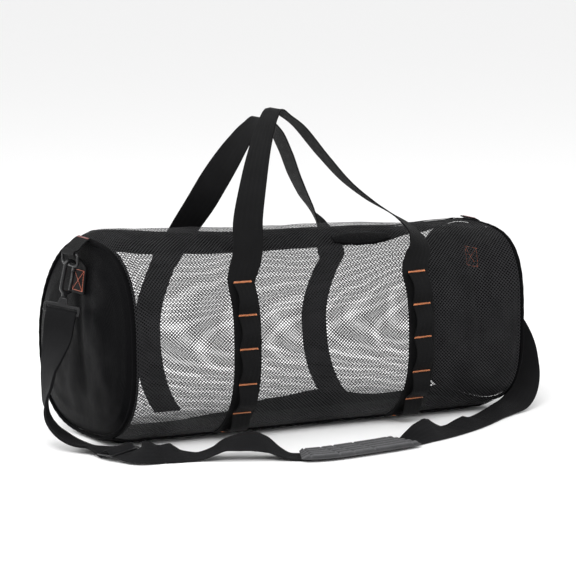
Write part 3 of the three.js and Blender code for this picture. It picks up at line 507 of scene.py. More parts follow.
def make_base():
    """The base cloth, puckered between its edges."""
    rows = 40
    base, along, turn = wall_grid(-WALL_END, WALL_END, lambda s: base_back(s) - 360, base_front, 0, 220, rows)
    edge = np.minimum(np.arange(rows + 1), rows - np.arange(rows + 1))[None, :] / (rows / 2)
    puckers = clouds(base, 14, 3) * 0.5 + clouds(base, 48, 4) * 1.1
    rise = puckers * smoothstep(edge, 0, 0.35) * smoothstep(base[..., 2], 0.2, 5)
    out = wall(along, turn, np.ones(turn.shape)) - skin(along, turn)
    outer = base + out * rise[..., None]
    outer[..., 2] = np.maximum(outer[..., 2], 0)
    inner = wall(along, turn, np.full(turn.shape, -CLOTH))
    inner[..., 2] = np.maximum(inner[..., 2], outer[..., 2] + 0.8)
    add_piece("base_cloth", *shell(outer, inner), "cloth", replaces=("base_panel",))


def make_zip():
    """The zip's two wavy tapes, the dark strip between them and the teeth."""
    for name, low, high, node in (
        ("zip_tape_top", ZIP_LOW, ZIP_LOW + TAPE_TURN, "zip_tape_upper"),
        ("zip_tape_rear", ZIP_HIGH - TAPE_TURN, ZIP_HIGH, "zip_tape_lower"),
    ):
        grid, along, turn = wall_grid(-WALL_END, WALL_END, even(low), even(high), 0, 160, 8)
        wave = clouds(grid, 30, 5)[..., None] * 0.5
        lift = (wall(along, turn, np.ones(turn.shape)) - skin(along, turn)) * wave
        under = wall(along, turn, np.full(turn.shape, -1.0)) + lift
        add_piece(name, *shell(grid + lift, under), "tape", replaces=(node,))
    wall_sheet("zip_cord_strip", WHOLE, even(ZIP_AT - 1.2), even(ZIP_AT + 1.2), (-0.4, -1.2), (160, 2))
    make_teeth()


def make_walls():
    """The two nets, the base, the zip, the smooth strip and the nets' hems."""
    net_sheet("net_front", lambda s: base_front(s) + GAP_TURN, even(ZIP_LOW - GAP_TURN), "mesh_front")
    net_sheet("net_back", even(ZIP_HIGH + GAP_TURN), lambda s: base_back(s) - GAP_TURN, "mesh_back")
    make_base()
    make_zip()
    wall_sheet("smooth_strip", (PATCH_FROM, PATCH_TO), lambda s: PATCH_TURN - patch_taper(s),
               lambda s: PATCH_TURN + patch_taper(s), (SEAM_GAP + 1.2, SEAM_GAP + 0.3), (30, 6),
               look="cloth", nodes=("top_patch",))
    for name, low, high in (
        ("hem_front", lambda s: base_front(s) - 0.4, lambda s: base_front(s) + 2.6),
        ("hem_back", lambda s: base_back(s) - 2.6, lambda s: base_back(s) + 0.4),
        ("hem_zip_front", even(ZIP_LOW - 2.2), even(ZIP_LOW + 0.8)),
        ("hem_zip_back", even(ZIP_HIGH - 0.8), even(ZIP_HIGH + 2.2)),
    ):
        wall_sheet(name, WHOLE, low, high, (0.75, 0.2), (200, 3), floors=(0.9, 0.4))


def patch_taper(share):
    """Half the smooth strip's width in degrees, less towards its ends."""
    across = (share * HALF - PATCH_FROM) / (PATCH_TO - PATCH_FROM)
    ends = np.minimum(np.minimum(across * 3, (1 - across) * 3), 1)
    return PATCH_HALF * (0.35 + 0.65 * ends)


def make_teeth():
    """The zip's two rows of moulded teeth."""
    pitch, half_long, half_wide, half_high = 2.6, 1.05, 1.9, 0.8
    count = int(2 * (WALL_END - 3) / pitch)
    verts, faces = [], []
    profile = [(-1, 0.55), (-0.55, 1), (0.55, 1), (1, 0.55),
               (1, -0.55), (0.55, -1), (-0.55, -1), (-1, -0.55)]
    for k in range(count):
        side = 1 if k % 2 else -1
        x = -WALL_END + 3 + pitch * (k + 0.5)
        turn = ZIP_AT + as_turn(side * 0.75)
        middle = wall(x, turn, 0.3)
        across = wall(x, turn + 1, 0.3) - wall(x, turn - 1, 0.3)
        across /= np.linalg.norm(across)
        out = wall(x, turn, 1.3) - middle
        start = len(verts)
        for level, narrow in ((-half_high, 1.0), (half_high * 0.4, 1.0), (half_high, 0.7)):
            for a, b in profile:
                point = middle + np.array([a * half_long * narrow, 0, 0]) + across * b * half_wide * narrow
                verts.append(point + out * level)
        for ring in (0, 8):
            for m in range(8):
                n = (m + 1) % 8
                faces.append([start + ring + m, start + ring + n, start + ring + 8 + n, start + ring + 8 + m])
        faces.append([start + 16 + m for m in range(8)])
        faces.append([start + m for m in reversed(range(8))])
    faces = outwards(verts, faces)
    add_piece("zip_teeth_row", verts, faces, "zip", replaces=("zip_teeth",))


# The puff of an end panel from its rim, 1, to its middle, 0
PUFF_SHARE = [0.0, 0.25, 0.55, 0.8, 0.93, 1.0]
PUFF = [1.0, 1.0, 0.95, 0.74, 0.42, 0.0]
PANEL_PUFF = 12.0


def panel_sag(height):
    return 0.5 + 0.5 * np.cos((height / HEIGHT - 0.42) * math.pi)


def panel_folds(side, y, z, share):
    """How far the soft end stands out at a place, besides its even puff."""
    near_rim = smoothstep(share, 0.98, 0.7)
    crease = -2.2 * np.exp(-((y - 0.16 * (z - 200)) / 9) ** 2)
    crease = crease * smoothstep(z, 40, 150) * smoothstep(z, 238, 205)
    roll = 1.6 * np.exp(-((y - side * 60) / 26) ** 2) * smoothstep(z, 30, 110)
    points = np.stack([np.full(y.shape, side * 40.0), y, z], axis=-1)
    soft = clouds(points, 62, 6) * 1.5 + clouds(points, 24, 7) * 0.45
    return (crease + roll + soft) * near_rim


def make_end(word, side):
    """A soft round end inside its bound seam."""
    sectors, rings = 128, 40
    rim_x = side * (HALF - BINDING)
    turns = np.arange(sectors) * 360 / sectors
    rim = wall(np.full(sectors, rim_x), turns, np.full(sectors, -2 * (BINDING + SEAM_GAP)))
    middle = np.array([rim_x, 0, MIDDLE])
    shares = np.sin(np.linspace(0, 1, rings + 1)[1:] * math.pi / 2)[::-1]
    layers = []
    for inset in (0.0, CLOTH):
        points = middle + (rim - middle)[None] * shares[:, None, None]
        share = np.broadcast_to(shares[:, None], points.shape[:2])
        puff = np.interp(share, PUFF_SHARE, PUFF) * PANEL_PUFF * panel_sag(points[..., 2])
        folds = panel_folds(side, points[..., 1], points[..., 2], share)
        points[..., 0] += side * (puff + folds - inset)
        top = middle + np.array([side * (PANEL_PUFF - inset + float(folds[-1].mean())), 0, 0])
        layers.append(np.concatenate([points.reshape(-1, 3), top[None]]))
    per = len(layers[0])
    faces = []
    for base, flip in ((0, False), (per, True)):
        for r in range(rings - 1):
            outer, inner = base + r * sectors, base + (r + 1) * sectors
            for k in range(sectors):
                n = (k + 1) % sectors
                face = [outer + k, outer + n, inner + n, inner + k]
                faces.append(face[::-1] if flip else face)
        last = base + (rings - 1) * sectors
        for k in range(sectors):
            face = [last + k, last + (k + 1) % sectors, base + per - 1]
            faces.append(face[::-1] if flip else face)
    for k in range(sectors):
        n = (k + 1) % sectors
        faces.append([k, per + k, per + n, n])
    verts = np.concatenate(layers)
    faces = outwards(verts, faces)
    add_piece(f"end_cloth_{word}", verts, faces, "cloth", replaces=(f"end_panel_{word}",))
    count = 220
    turns = np.arange(count) * 360 / count
    pucker = BINDING * (1 + 0.07 * np.sin(np.arange(count) * 2 * math.pi / 4))
    centre = wall(np.full(count, rim_x), turns, np.full(count, -BINDING - SEAM_GAP / 2))
    verts, faces = tube(centre, pucker, 12, closed=True)
    add_piece(f"bound_seam_{word}", verts, faces, "tape", replaces=(f"end_binding_{word}",))
    ends = sorted((side * (HALF - SEAM_TAPE), rim_x))
    wall_sheet(f"seam_tape_{word}", ends, even(0.5), even(359.5), (-2.2, -3.0), (4, 160))


def rod_faces(count, sides, closed=False):
    """The faces of a rod made of rings of points, with flat ends if it's open."""
    faces = []
    for i in range(count if closed else count - 1):
        n = (i + 1) % count
        for k in range(sides):
            m = (k + 1) % sides
            faces.append([i * sides + k, i * sides + m, n * sides + m, n * sides + k])
    if not closed:
        faces.append(list(range(sides))[::-1])
        faces.append([(count - 1) * sides + k for k in range(sides)])
    return faces


def tube(centre, radius, sides, closed=False):
    """A round bar through points; an open one has flat ends."""
    centre = np.asarray(centre, float)
    count = len(centre)
    radius = np.broadcast_to(radius, (count,))
    if closed:
        tangent = np.roll(centre, -1, axis=0) - np.roll(centre, 1, axis=0)
    else:
        tangent = np.gradient(centre, axis=0)
    tangent /= np.linalg.norm(tangent, axis=1, keepdims=True)
    spread = np.abs(tangent).mean(axis=0)
    fixed = np.zeros(3)
    fixed[np.argmin(spread)] = 1
    one = np.cross(tangent, fixed)
    one /= np.linalg.norm(one, axis=1, keepdims=True)
    two = np.cross(tangent, one)
    turns = (np.arange(sides) + 0.5) * 2 * math.pi / sides
    verts = centre[:, None] + radius[:, None, None] * (
        one[:, None] * np.cos(turns)[None, :, None] + two[:, None] * np.sin(turns)[None, :, None])
    verts = verts.reshape(-1, 3)
    return verts, outwards(verts, rod_faces(count, sides, closed))


class Curve:
    """A centripetal Catmull-Rom curve through points, open at its ends."""

    def __init__(self, points, divisions=200):
        points = np.asarray(points, float)
        self.points = points
        self.padded = np.concatenate([[2 * points[0] - points[1]], points, [2 * points[-1] - points[-2]]])
        self.shares = np.linspace(0, 1, divisions + 1)
        self.lengths = distances(np.array([self.at(t) for t in self.shares]))

    def at(self, t):
        spans = len(self.points) - 1
        place = t * spans
        low = min(int(place), spans - 1)
        w = place - low
        p0, p1, p2, p3 = self.padded[low:low + 4]
        pairs = ((p0, p1), (p1, p2), (p2, p3))
        d0, d1, d2 = (max(float(np.dot(b - a, b - a)) ** 0.25, 1e-4) for a, b in pairs)
        t1 = ((p1 - p0) / d0 - (p2 - p0) / (d0 + d1) + (p2 - p1) / d1) * d1
        t2 = ((p2 - p1) / d1 - (p3 - p1) / (d1 + d2) + (p3 - p2) / d2) * d1
        return p1 + t1 * w + (-3 * p1 + 3 * p2 - 2 * t1 - t2) * w * w + (2 * p1 - 2 * p2 + t1 + t2) * w ** 3

    def share_at(self, u):
        return float(np.interp(u * self.lengths[-1], self.lengths, self.shares))

    def tangent(self, t):
        step = self.at(min(t + 1e-4, 1)) - self.at(max(t - 1e-4, 0))
        return step / np.linalg.norm(step)


def across_at(rows, t):
    """The way across at a share of rows of (place, across)."""
    slot = min(t * (len(rows) - 1), len(rows) - 1 - 1e-6)
    low = int(slot)
    return rows[low][1] + (rows[low + 1][1] - rows[low][1]) * (slot - low)


def even_frames(rows, steps):
    """Even steps along rows of (place, across)."""
    curve = Curve([place for place, _ in rows])
    frames = []
    for i in range(steps + 1):
        t = curve.share_at(i / steps)
        frames.append((curve.at(t), unit(across_at(rows, t))))
    return frames


def sweep(frames, width, thick):
    """Webbing with soft edges through (place, across) frames, with the weave's coordinates."""
    place = np.array([f[0] for f in frames])
    across = np.array([f[1] for f in frames])
    tangent = np.concatenate([place[1:2] - place[:1], place[2:] - place[:-2], place[-1:] - place[-2:-1]])
    tangent /= np.linalg.norm(tangent, axis=1, keepdims=True)
    across = across - tangent * np.sum(across * tangent, axis=1, keepdims=True)
    across /= np.linalg.norm(across, axis=1, keepdims=True)
    out = np.cross(across, tangent)
    along = distances(place)
    h, t = width / 2, thick / 2
    top = [-h + 0.5, -h + 1.7, -h * 0.5, 0.0, h * 0.5, h - 1.7, h - 0.5]
    section = [(a, t) for a in top] + [(h, t * 0.4), (h, -t * 0.4)]
    section += [(a, -t) for a in reversed(top)] + [(-h, -t * 0.4), (-h, t * 0.4)]
    a = np.array([p[0] for p in section])
    b = np.array([p[1] for p in section])
    verts = place[:, None] + across[:, None] * a[None, :, None] + out[:, None] * b[None, :, None]
    count, sides = verts.shape[:2]
    uv = np.stack(np.broadcast_arrays(a[None, :], along[:, None]), axis=-1)
    verts = verts.reshape(-1, 3)
    return verts, outwards(verts, rod_faces(count, sides)), uv.reshape(-1, 2)


def add_webbing(name, frames, width, node, look="webbing"):
    """A piece of webbing through (place, across) frames."""
    verts, faces, uv = sweep(frames, width, THICK)
    add_piece(name, verts, faces, look, uv=uv, replaces=(node,))


def wall_frame(station, turn, stand, wide=WEBBING):
    """Webbing lying on the wall, which follows it across its width too."""
    near = wall(station - wide / 2, turn, stand)
    far = wall(station + wide / 2, turn, stand)
    middle = wall(station, turn, stand)
    centre = (near + far) / 2
    proud = np.linalg.norm(centre - middle) * np.sign(np.linalg.norm(middle) - np.linalg.norm(centre))
    out = wall(station, turn, stand + 1) - middle
    return centre + out * max(proud, 0), unit(far - near)


# The handles' free legs: along, rise, turn of the webbing, bow
HANDLES = {
    "front": dict(
        side=-1, sewn=125, lift=0.0, rise=157,
        left=[(0.05, 0.06, 2, 2), (0.13, 0.13, 8, 3), (0.2, 0.22, 22, 2), (0.27, 0.34, 38, 0),
              (0.43, 0.53, 56, 0), (0.65, 0.76, 74, 0), (0.88, 0.95, 86, 0)],
        right=[(0.91, 0.955, 92, 0), (0.81, 0.89, 93, 0), (0.64, 0.71, 95, 0), (0.47, 0.55, 98, 0),
               (0.28, 0.43, 102, 0), (0.08, 0.33, 112, 2), (-0.05, 0.24, 134, 6), (-0.08, 0.14, 162, 7),
               (-0.03, 0.06, 176, 3)],
    ),
    "back": dict(
        side=1, sewn=131, lift=0.8, rise=141,
        left=[(0.06, 0.06, 2, 3.5), (0.23, 0.26, 14, 3), (0.38, 0.43, 27, 0), (0.5, 0.57, 40, 0),
              (0.63, 0.71, 54, 0), (0.75, 0.83, 68, 0), (0.88, 0.94, 82, 0)],
        right=[(0.85, 0.93, 91, 0), (0.7, 0.78, 92, 0), (0.54, 0.58, 94, 0), (0.38, 0.41, 100, 1),
               (0.23, 0.27, 118, 5), (0.13, 0.17, 150, 7), (0.04, 0.07, 176, 4)],
    ),
}
MEET = -0.075


def handle_path(handle):
    side, sewn = handle["side"], handle["sewn"]

    def facing(turn):
        return turn if side < 0 else 360 - turn

    def turned(angle):
        return np.array([math.cos(math.radians(angle)), -math.sin(math.radians(angle)), 0])

    meeting = np.array([MEET * HALF, side * (WEBBING / 2 + 1.5), HEIGHT + handle["rise"]])
    rows = []

    def on_wall(station, turn, flip):
        place, across = wall_frame(station, facing(turn), STAND + (handle["lift"] if turn == sewn else 0))
        rows.append((place, across * flip))

    def free_leg(station, table):
        root = wall_frame(station, facing(sewn), STAND)[0]
        for along, rise, turn, bow in table:
            place = root + (meeting - root) * rise
            place[0] = station + (meeting[0] - station) * along
            place[1] += side * bow
            rows.append((place, turned(turn)))

    turns = [SEWN_LOW + (sewn - SEWN_LOW) * i / 9 for i in range(9)] + [sewn]
    for turn in turns:
        on_wall(-STATION, turn, 1)
    free_leg(-STATION, handle["left"])
    rows.append((meeting, turned(90)))
    free_leg(STATION, handle["right"])
    for turn in reversed(turns):
        on_wall(STATION, turn, -1)
    return rows


DAISY_TURNS = [41, 57, 73, 91, 108, 124]
DAISY_FLAT = STAND + THICK + SEAM_GAP


def daisy_path(station, steps=14):
    frames = []
    for low, high in zip(DAISY_TURNS, DAISY_TURNS[1:]):
        for k in range(steps):
            share = k / steps
            stand = DAISY_FLAT + DAISY_STAND * math.sin(math.pi * share) ** 1.4
            frames.append(wall_frame(station, low + (high - low) * share, stand))
    frames.append(wall_frame(station, DAISY_TURNS[-1], DAISY_FLAT))
    return frames


def bartack(name, middle, across, up, out, width, height, look="orange", rows=15):
    """A dense zigzag of thread across the webbing."""
    points = []
    for i in range(2 * rows + 1):
        a = (i / (2 * rows) - 0.5) * width
        b = (0.5 if i % 2 else -0.5) * height
        points.append(middle + across * a + up * b + out * 0.25)
    add_piece(name, *tube(points, TACK_THREAD, 6), look)


def stitches(name, lines, out):
    """Rows of single stitches along straight or bent lines."""
    verts, faces = [], []
    for line in lines:
        line = np.asarray(line, float)
        length = distances(line)
        count = max(int((length[-1] + STITCH_GAP) / (STITCH + STITCH_GAP)), 1)
        for k in range(count):
            start = k * length[-1] / count
            end = start + length[-1] / count - STITCH_GAP
            places = []
            for s, lift in ((0, -0.25), (0.2, 0.12), (0.8, 0.12), (1, -0.25)):
                places.append(point_at(line, length, start + (end - start) * s) + out * lift)
            v, f = tube(places, THREAD, 5)
            faces += [[i + len(verts) for i in face] for face in f]
            verts += v.tolist()
    # These rows use the darker copy of the orange thread: painted shade.
    add_piece(name, verts, faces, "orange_shade")


def make_webbing():
    """The handles, the stepped lashing webbing and its orange tacks."""
    for word, handle in HANDLES.items():
        add_webbing(f"carry_handle_{word}", even_frames(handle_path(handle), 300), WEBBING, f"handle_{word}")
    for word, side in ENDS:
        station = side * STATION
        add_webbing(f"lashing_{word}", daisy_path(station), DAISY_WIDTH, f"daisy_chain_{word}")
        for k, turn in enumerate(DAISY_TURNS):
            place, across = wall_frame(station, turn, DAISY_FLAT + THICK / 2, DAISY_WIDTH)
            above, _ = wall_frame(station, turn + 1, DAISY_FLAT + THICK / 2, DAISY_WIDTH)
            up = unit(above - place)
            out = np.cross(across, up)
            lean = math.radians(TACK_LEAN[side])
            along = across * math.cos(lean) + up * math.sin(lean)
            upright = np.cross(out, along)
            bartack(f"tack_{word}_{k + 1}", place, along, upright, out, DAISY_WIDTH - 1, TACK_TALL)


def arc(x, y, radius, start, end, steps):
    turns = np.radians(np.linspace(start, end, steps + 1))
    return [(x + radius * math.cos(t), y + radius * math.sin(t)) for t in turns]


def rim_height(side):
    return float(skin(side * HALF, 180)[2])


def ring_top(side):
    return rim_height(side) - 17


def panel_reach(side, height):
    """How far the soft end stands out past the barrel at a height, over its middle line."""
    rim = float(wall(side * (HALF - BINDING), 180, -2 * (BINDING + SEAM_GAP))[2])
    share = min((height - MIDDLE) / (rim - MIDDLE), 1)
    return float(np.interp(share, PUFF_SHARE, PUFF) * PANEL_PUFF * panel_sag(height)) - BINDING


def tab_path(side):
    top, bar = rim_height(side), ring_top(side)
    turn_radius = (RING_THICK / 2 + SEAM_GAP + THICK / 2) / math.cos(math.radians(15)) + 0.2

    def at(out, height):
        return np.array([side * (HALF + out), 0, height]), SIDEWAYS

    upper = even_frames([
        at(-BINDING, top + STAND), at(0.14 * TAB_REACH, top - 0.4), at(0.5 * TAB_REACH, top - 5.5),
        at(0.8 * TAB_REACH, bar + turn_radius + 1.5), at(TAB_REACH, bar + turn_radius),
    ], 20)[:-1]
    turned = [at(x, y) for x, y in arc(TAB_REACH, bar, turn_radius, 90, -90, 14)]
    lower = [at(TAB_REACH, bar - turn_radius), at(0.62 * TAB_REACH, bar - 9)]
    lower += [at(panel_reach(side, bar - drop) + STAND + 0.3, bar - drop) for drop in (20, 32, 42, 55)]
    return [*upper, *turned, *even_frames(lower, 40)[1:]]


def ring_points(side, steps=10):
    wide, tall = (RING_WIDE - RING_THICK) / 2, (RING_TALL - RING_THICK) / 2
    corner = tall * 0.75
    points = []
    for y, z, start in ((1, 1, 0), (-1, 1, 90), (-1, -1, 180), (1, -1, 270)):
        for a, b in arc(y * (wide - corner), z * (tall - corner), corner, start, start + 90, steps):
            points.append((side * (HALF + TAB_REACH), a, ring_top(side) - tall + b))
    return points


HOOK_INNER = HOOK_WIDE / 2 - HOOK_BAR
HOOK_CROWN = -(HOOK_INNER - RING_THICK / 2 - SEAM_GAP)
NOSE_LOW = -8.0
PIVOT = -(HOOK_TALL - 12)
GATE_RADIUS = 2.1
GATE_ACROSS = -(HOOK_WIDE - HOOK_BAR) / 2
STRAP_LOOP_WIDE = WEBBING + 2 * LOOP_BAR + 2 * SEAM_GAP


def hook_outline():
    half, stem = HOOK_WIDE / 2, 3.4
    lug = PIVOT - GATE_RADIUS - SEAM_GAP
    return [
        (-half, NOSE_LOW), *arc(0, HOOK_CROWN, half, 180, 0, 24), *arc(0, lug + 3.5, half, 0, -62, 10),
        (stem, -HOOK_TALL), (-stem, -HOOK_TALL), (-stem, lug - 5.2), (-half, lug - 2.4), (-half, lug),
        (-HOOK_INNER + 0.6, lug), *arc(0, lug + 3.5, HOOK_INNER, -70, 0, 8),
        *arc(0, HOOK_CROWN, HOOK_INNER, 0, 180, 20), (-HOOK_INNER, NOSE_LOW),
    ]


def gate_outline():
    top = NOSE_LOW - SEAM_GAP
    return [*arc(GATE_ACROSS, PIVOT, GATE_RADIUS, 180, 360, 14),
            (GATE_ACROSS + GATE_RADIUS, top), (GATE_ACROSS - GATE_RADIUS, top)]


def loop_outline():
    half, cap = STRAP_LOOP_WIDE / 2, 5
    shoulder = -HOOK_TALL - SEAM_GAP - SWIVEL_TALL
    low = shoulder - LOOP_TALL
    right = [(cap, shoulder + SWIVEL_TALL), (cap + 2, shoulder), (half - 2, shoulder - 0.6),
             (half, shoulder - 3), (half, low + 1.5), (half - 1.5, low)]
    outline = right + [(-x, y) for x, y in reversed(right)]
    hole = [(-half + LOOP_BAR, shoulder - LOOP_BAR), (-half + LOOP_BAR, low + LOOP_BAR),
            (half - LOOP_BAR, low + LOOP_BAR), (half - LOOP_BAR, shoulder - LOOP_BAR)]
    return outline, [hole]


def moulded(outline, holes, thick, soft):
    """A plate with well rounded edges, as millimetre points and faces."""
    data = bpy.data.curves.new("moulding", "CURVE")
    data.dimensions = "2D"
    data.fill_mode = "BOTH"
    data.extrude = thick / 2 - soft
    data.bevel_depth = soft
    data.bevel_resolution = 4
    data.offset = -soft
    for loop in (outline, *holes):
        spline = data.splines.new("POLY")
        spline.points.add(len(loop) - 1)
        for point, (x, y) in zip(spline.points, loop):
            point.co = (x, y, 0, 1)
        spline.use_cyclic_u = True
    holder = bpy.data.objects.new("moulding", data)
    mesh = bpy.data.meshes.new_from_object(holder)
    verts = np.array([v.co[:] for v in mesh.vertices])
    faces = [list(p.vertices) for p in mesh.polygons]
    bpy.data.objects.remove(holder)
    bpy.data.curves.remove(data)
    bpy.data.meshes.remove(mesh)
    return verts, faces


def hook_basis(side):
    lean = math.radians(HOOK_LEAN)
    across = np.array([side * math.cos(lean), 0, math.sin(lean)])
    up = -np.array([side * math.sin(lean), 0, -math.cos(lean)])
    along = np.cross(across, up)
    origin = np.array([side * (HALF + TAB_REACH), 0, ring_top(side) - (RING_TALL - RING_THICK)])
    return origin, np.stack([across, up, along], axis=1)


def swivelled(basis):
    turn = math.radians(-HOOK_SWIVEL)
    c, s = math.cos(turn), math.sin(turn)
    return basis @ np.array([[c, 0, s], [0, 1, 0], [-s, 0, c]])


STRAP_ENDS = {}


def make_hardware():
    """The tabs, rings, snap hooks, gates and strap loops of both ends."""
    for word, side in ENDS:
        path = tab_path(side)
        add_webbing(f"webbing_tab_{word}", path, TAB_WIDTH, f"end_tab_{word}")
        tab_stitching(word, side, np.array([place for place, _ in path]))
        verts, faces = tube(ring_points(side), RING_THICK / 2, 16, closed=True)
        add_piece(f"moulded_ring_{word}", verts, faces, "plastic", replaces=(f"tab_ring_{word}",))
        origin, basis = hook_basis(side)
        turned = swivelled(basis)
        outline, holes = loop_outline()
        for name, node, body, axes, plate in (
            ("snap_hook", "hook_body", "bag", basis, (hook_outline(), [], HOOK_BAR, 1.7)),
            ("snap_gate", "hook_gate", f"gate_{word}", basis, (gate_outline(), [], HOOK_BAR * 0.8, 1.2)),
            ("webbing_loop", "hook_strap_loop", "bag", turned, (outline, holes, LOOP_BAR, 1.5)),
        ):
            verts, faces = moulded(*plate)
            add_piece(f"{name}_{word}", origin + verts @ axes.T, faces, "plastic",
                      body=body, replaces=(f"{node}_{word}",))
        bar = -HOOK_TALL - SEAM_GAP - SWIVEL_TALL - LOOP_TALL + LOOP_BAR / 2
        STRAP_ENDS[word] = dict(bar=origin + turned @ np.array([0, bar, 0]), across=turned[:, 0] * side,
                                down=-turned[:, 1], face=turned[:, 2])


def tab_stitching(word, side, places):
    """The tack on the rim and the crossed square on the tab's lower run."""
    up = unit(places[4] - places[1])
    out = np.cross(SIDEWAYS, up) * side
    if out[2] < 0:
        out = -out
    rim = places[2] + out * THICK / 2
    # The rim tack uses the darkest copy of the orange thread: painted shade.
    bartack(f"rim_tack_{word}", rim, SIDEWAYS, up, out, TAB_WIDTH - 6, 1.6, "red", 16)
    length = distances(places)
    outward = unit(np.array([side * 1.0, 0, 0.12]))
    lift = THICK / 2 + 0.15
    half, low, high = 15, 4, 31
    corners = np.array([(-half, low), (half, low), (half, high), (-half, high)])
    lines = []
    for a, b in [(0, 1), (1, 2), (2, 3), (3, 0), (0, 2), (1, 3)]:
        line = []
        for s in np.linspace(0, 1, 8):
            across, back = corners[a] + (corners[b] - corners[a]) * s
            line.append(point_at(places, length, length[-1] - back) + SIDEWAYS * across + outward * lift)
        lines.append(np.array(line))
    stitches(f"tab_square_{word}", lines, outward)
    inside = [behind_cloth(side, line) for line in lines]
    stitches(f"tab_square_inside_{word}", inside, np.array([-side, 0, 0]))


def behind_cloth(side, points):
    """The points moved along the bag to the end cloth's inner face."""
    points = points.copy()
    share = np.clip((points[:, 2] - MIDDLE) / (rim_height(side) - MIDDLE), 0, 1)
    folds = panel_folds(side, points[:, 1], points[:, 2], share)
    reach = np.array([panel_reach(side, height) for height in points[:, 2]])
    points[:, 0] = side * (HALF + reach + folds - CLOTH - 0.4)
    return points


# The loose strap: along, out, up, the way the webbing's width points round and its tip up
STRAP_ROUTE = [
    (-1.13, 0.0, 3.5, -44, -6), (-1.15, 0.0, 3.0, -68, -3), (-1.172, 0.0, 2.42, -88, 0),
    (-1.19, -0.04, 1.8, -100, 0), (-1.205, -0.1, 1.4, -110, 0), (-1.212, -0.18, 1.02, -120, 2),
    (-1.207, -0.29, 0.68, -130, 5), (-1.175, -0.42, 0.36, -146, 9), (-1.13, -0.54, 0.19, -160, 11),
    (-1.093, -0.66, 0.18, -168, 8), (-1.08, -0.82, 0.22, -170, 0), (-1.067, -0.98, 0.26, -171, -8),
    (-1.054, -1.14, 0.29, -168, -16), (-1.03, -1.25, 0.33, -142, -28), (-0.985, -1.275, 0.33, -112, -34),
    (-0.932, -1.27, 0.24, -100, -22), (-0.883, -1.3, 0.24, -98, -28), (-0.828, -1.305, 0.12, -100, -10),
    (-0.77, -1.34, 0.09, -112, -2), (-0.715, -1.4, 0.25, -115, -4), (-0.669, -1.445, 0.45, -115, -12),
    (-0.62, -1.5, 0.53, -115, -22), (-0.555, -1.567, 0.56, -115, -29), (-0.507, -1.605, 0.44, -115, -22),
    (-0.459, -1.66, 0.2, -113, -9), (-0.42, -1.71, 0.07, -108, -2), (-0.36, -1.77, 0.05, -96, 0),
    (-0.28, -1.8, 0.05, -86, 0), (-0.1, -1.76, 0.05, -83, 0), (0.1, -1.69, 0.05, -82, 0),
    (0.195, -1.635, 0.05, -77, 0), (0.24, -1.6, 0.12, -74, -13), (0.286, -1.573, 0.23, -73, -27),
    (0.341, -1.549, 0.31, -70, -38), (0.381, -1.511, 0.27, -68, -33), (0.432, -1.452, 0.18, -66, -20),
    (0.496, -1.381, 0.08, -63, -7), (0.55, -1.322, 0.08, -61, -6), (0.618, -1.244, 0.12, -59, -11),
    (0.686, -1.156, 0.13, -56, -13), (0.754, -1.054, 0.07, -54, -4), (0.85, -0.91, 0.07, -51, -3),
    (0.95, -0.79, 0.14, -48, -8), (1.05, -0.7, 0.3, -46, -14), (1.11, -0.63, 0.62, -48, -18),
    (1.15, -0.55, 1.05, -50, -14), (1.172, -0.46, 1.5, -50, -8), (1.185, -0.36, 2.0, -47, -2),
    (1.18, -0.25, 2.5, -42, 3), (1.155, -0.12, 3.05, -36, 7),
]
BAR_ROUND = (LOOP_BAR / 2 + SEAM_GAP + THICK / 2) / math.cos(math.radians(15))
LAYER_APART = (THICK + SEAM_GAP) / 2


class Strap:
    """The loose strap's middle line between the two loops' bars."""

    def __init__(self):
        rows = []
        for along, out, up, wide, tip in STRAP_ROUTE:
            wide, tip = math.radians(wide), math.radians(tip)
            place = np.array([along * HALF, out * WIDTH / 2, up * WEBBING])
            across = np.array([math.cos(wide) * math.cos(tip), math.sin(wide) * math.cos(tip), math.sin(tip)])
            rows.append((place, across))
        left, right = (
            [(end["bar"] + end["down"] * depth * BAR_ROUND, end["across"]) for depth in (0, 2, 4)]
            for end in (STRAP_ENDS["left"], STRAP_ENDS["right"]))
        self.rows = left + rows + right[::-1]
        self.curve = Curve([place for place, _ in self.rows], 1200)
        self.length = self.curve.lengths[-1]

    def reach(self, row):
        t = (row + 3) / (len(self.rows) - 1)
        return float(np.interp(t, self.curve.shares, self.curve.lengths))

    def frame(self, reach, off):
        """Place, across, tangent and out at a distance along, moved off along its own normal."""
        t = self.curve.share_at(min(max(reach / self.length, 0), 1))
        across = across_at(self.rows, t)
        tangent = self.curve.tangent(t)
        across = unit(across - tangent * np.dot(across, tangent))
        out = np.cross(across, tangent)
        place = self.curve.at(t) + out * off
        place[2] = max(place[2], FLOOR_GAP + (abs(across[2]) * WEBBING + abs(out[2]) * THICK) / 2)
        return place, across, tangent, out


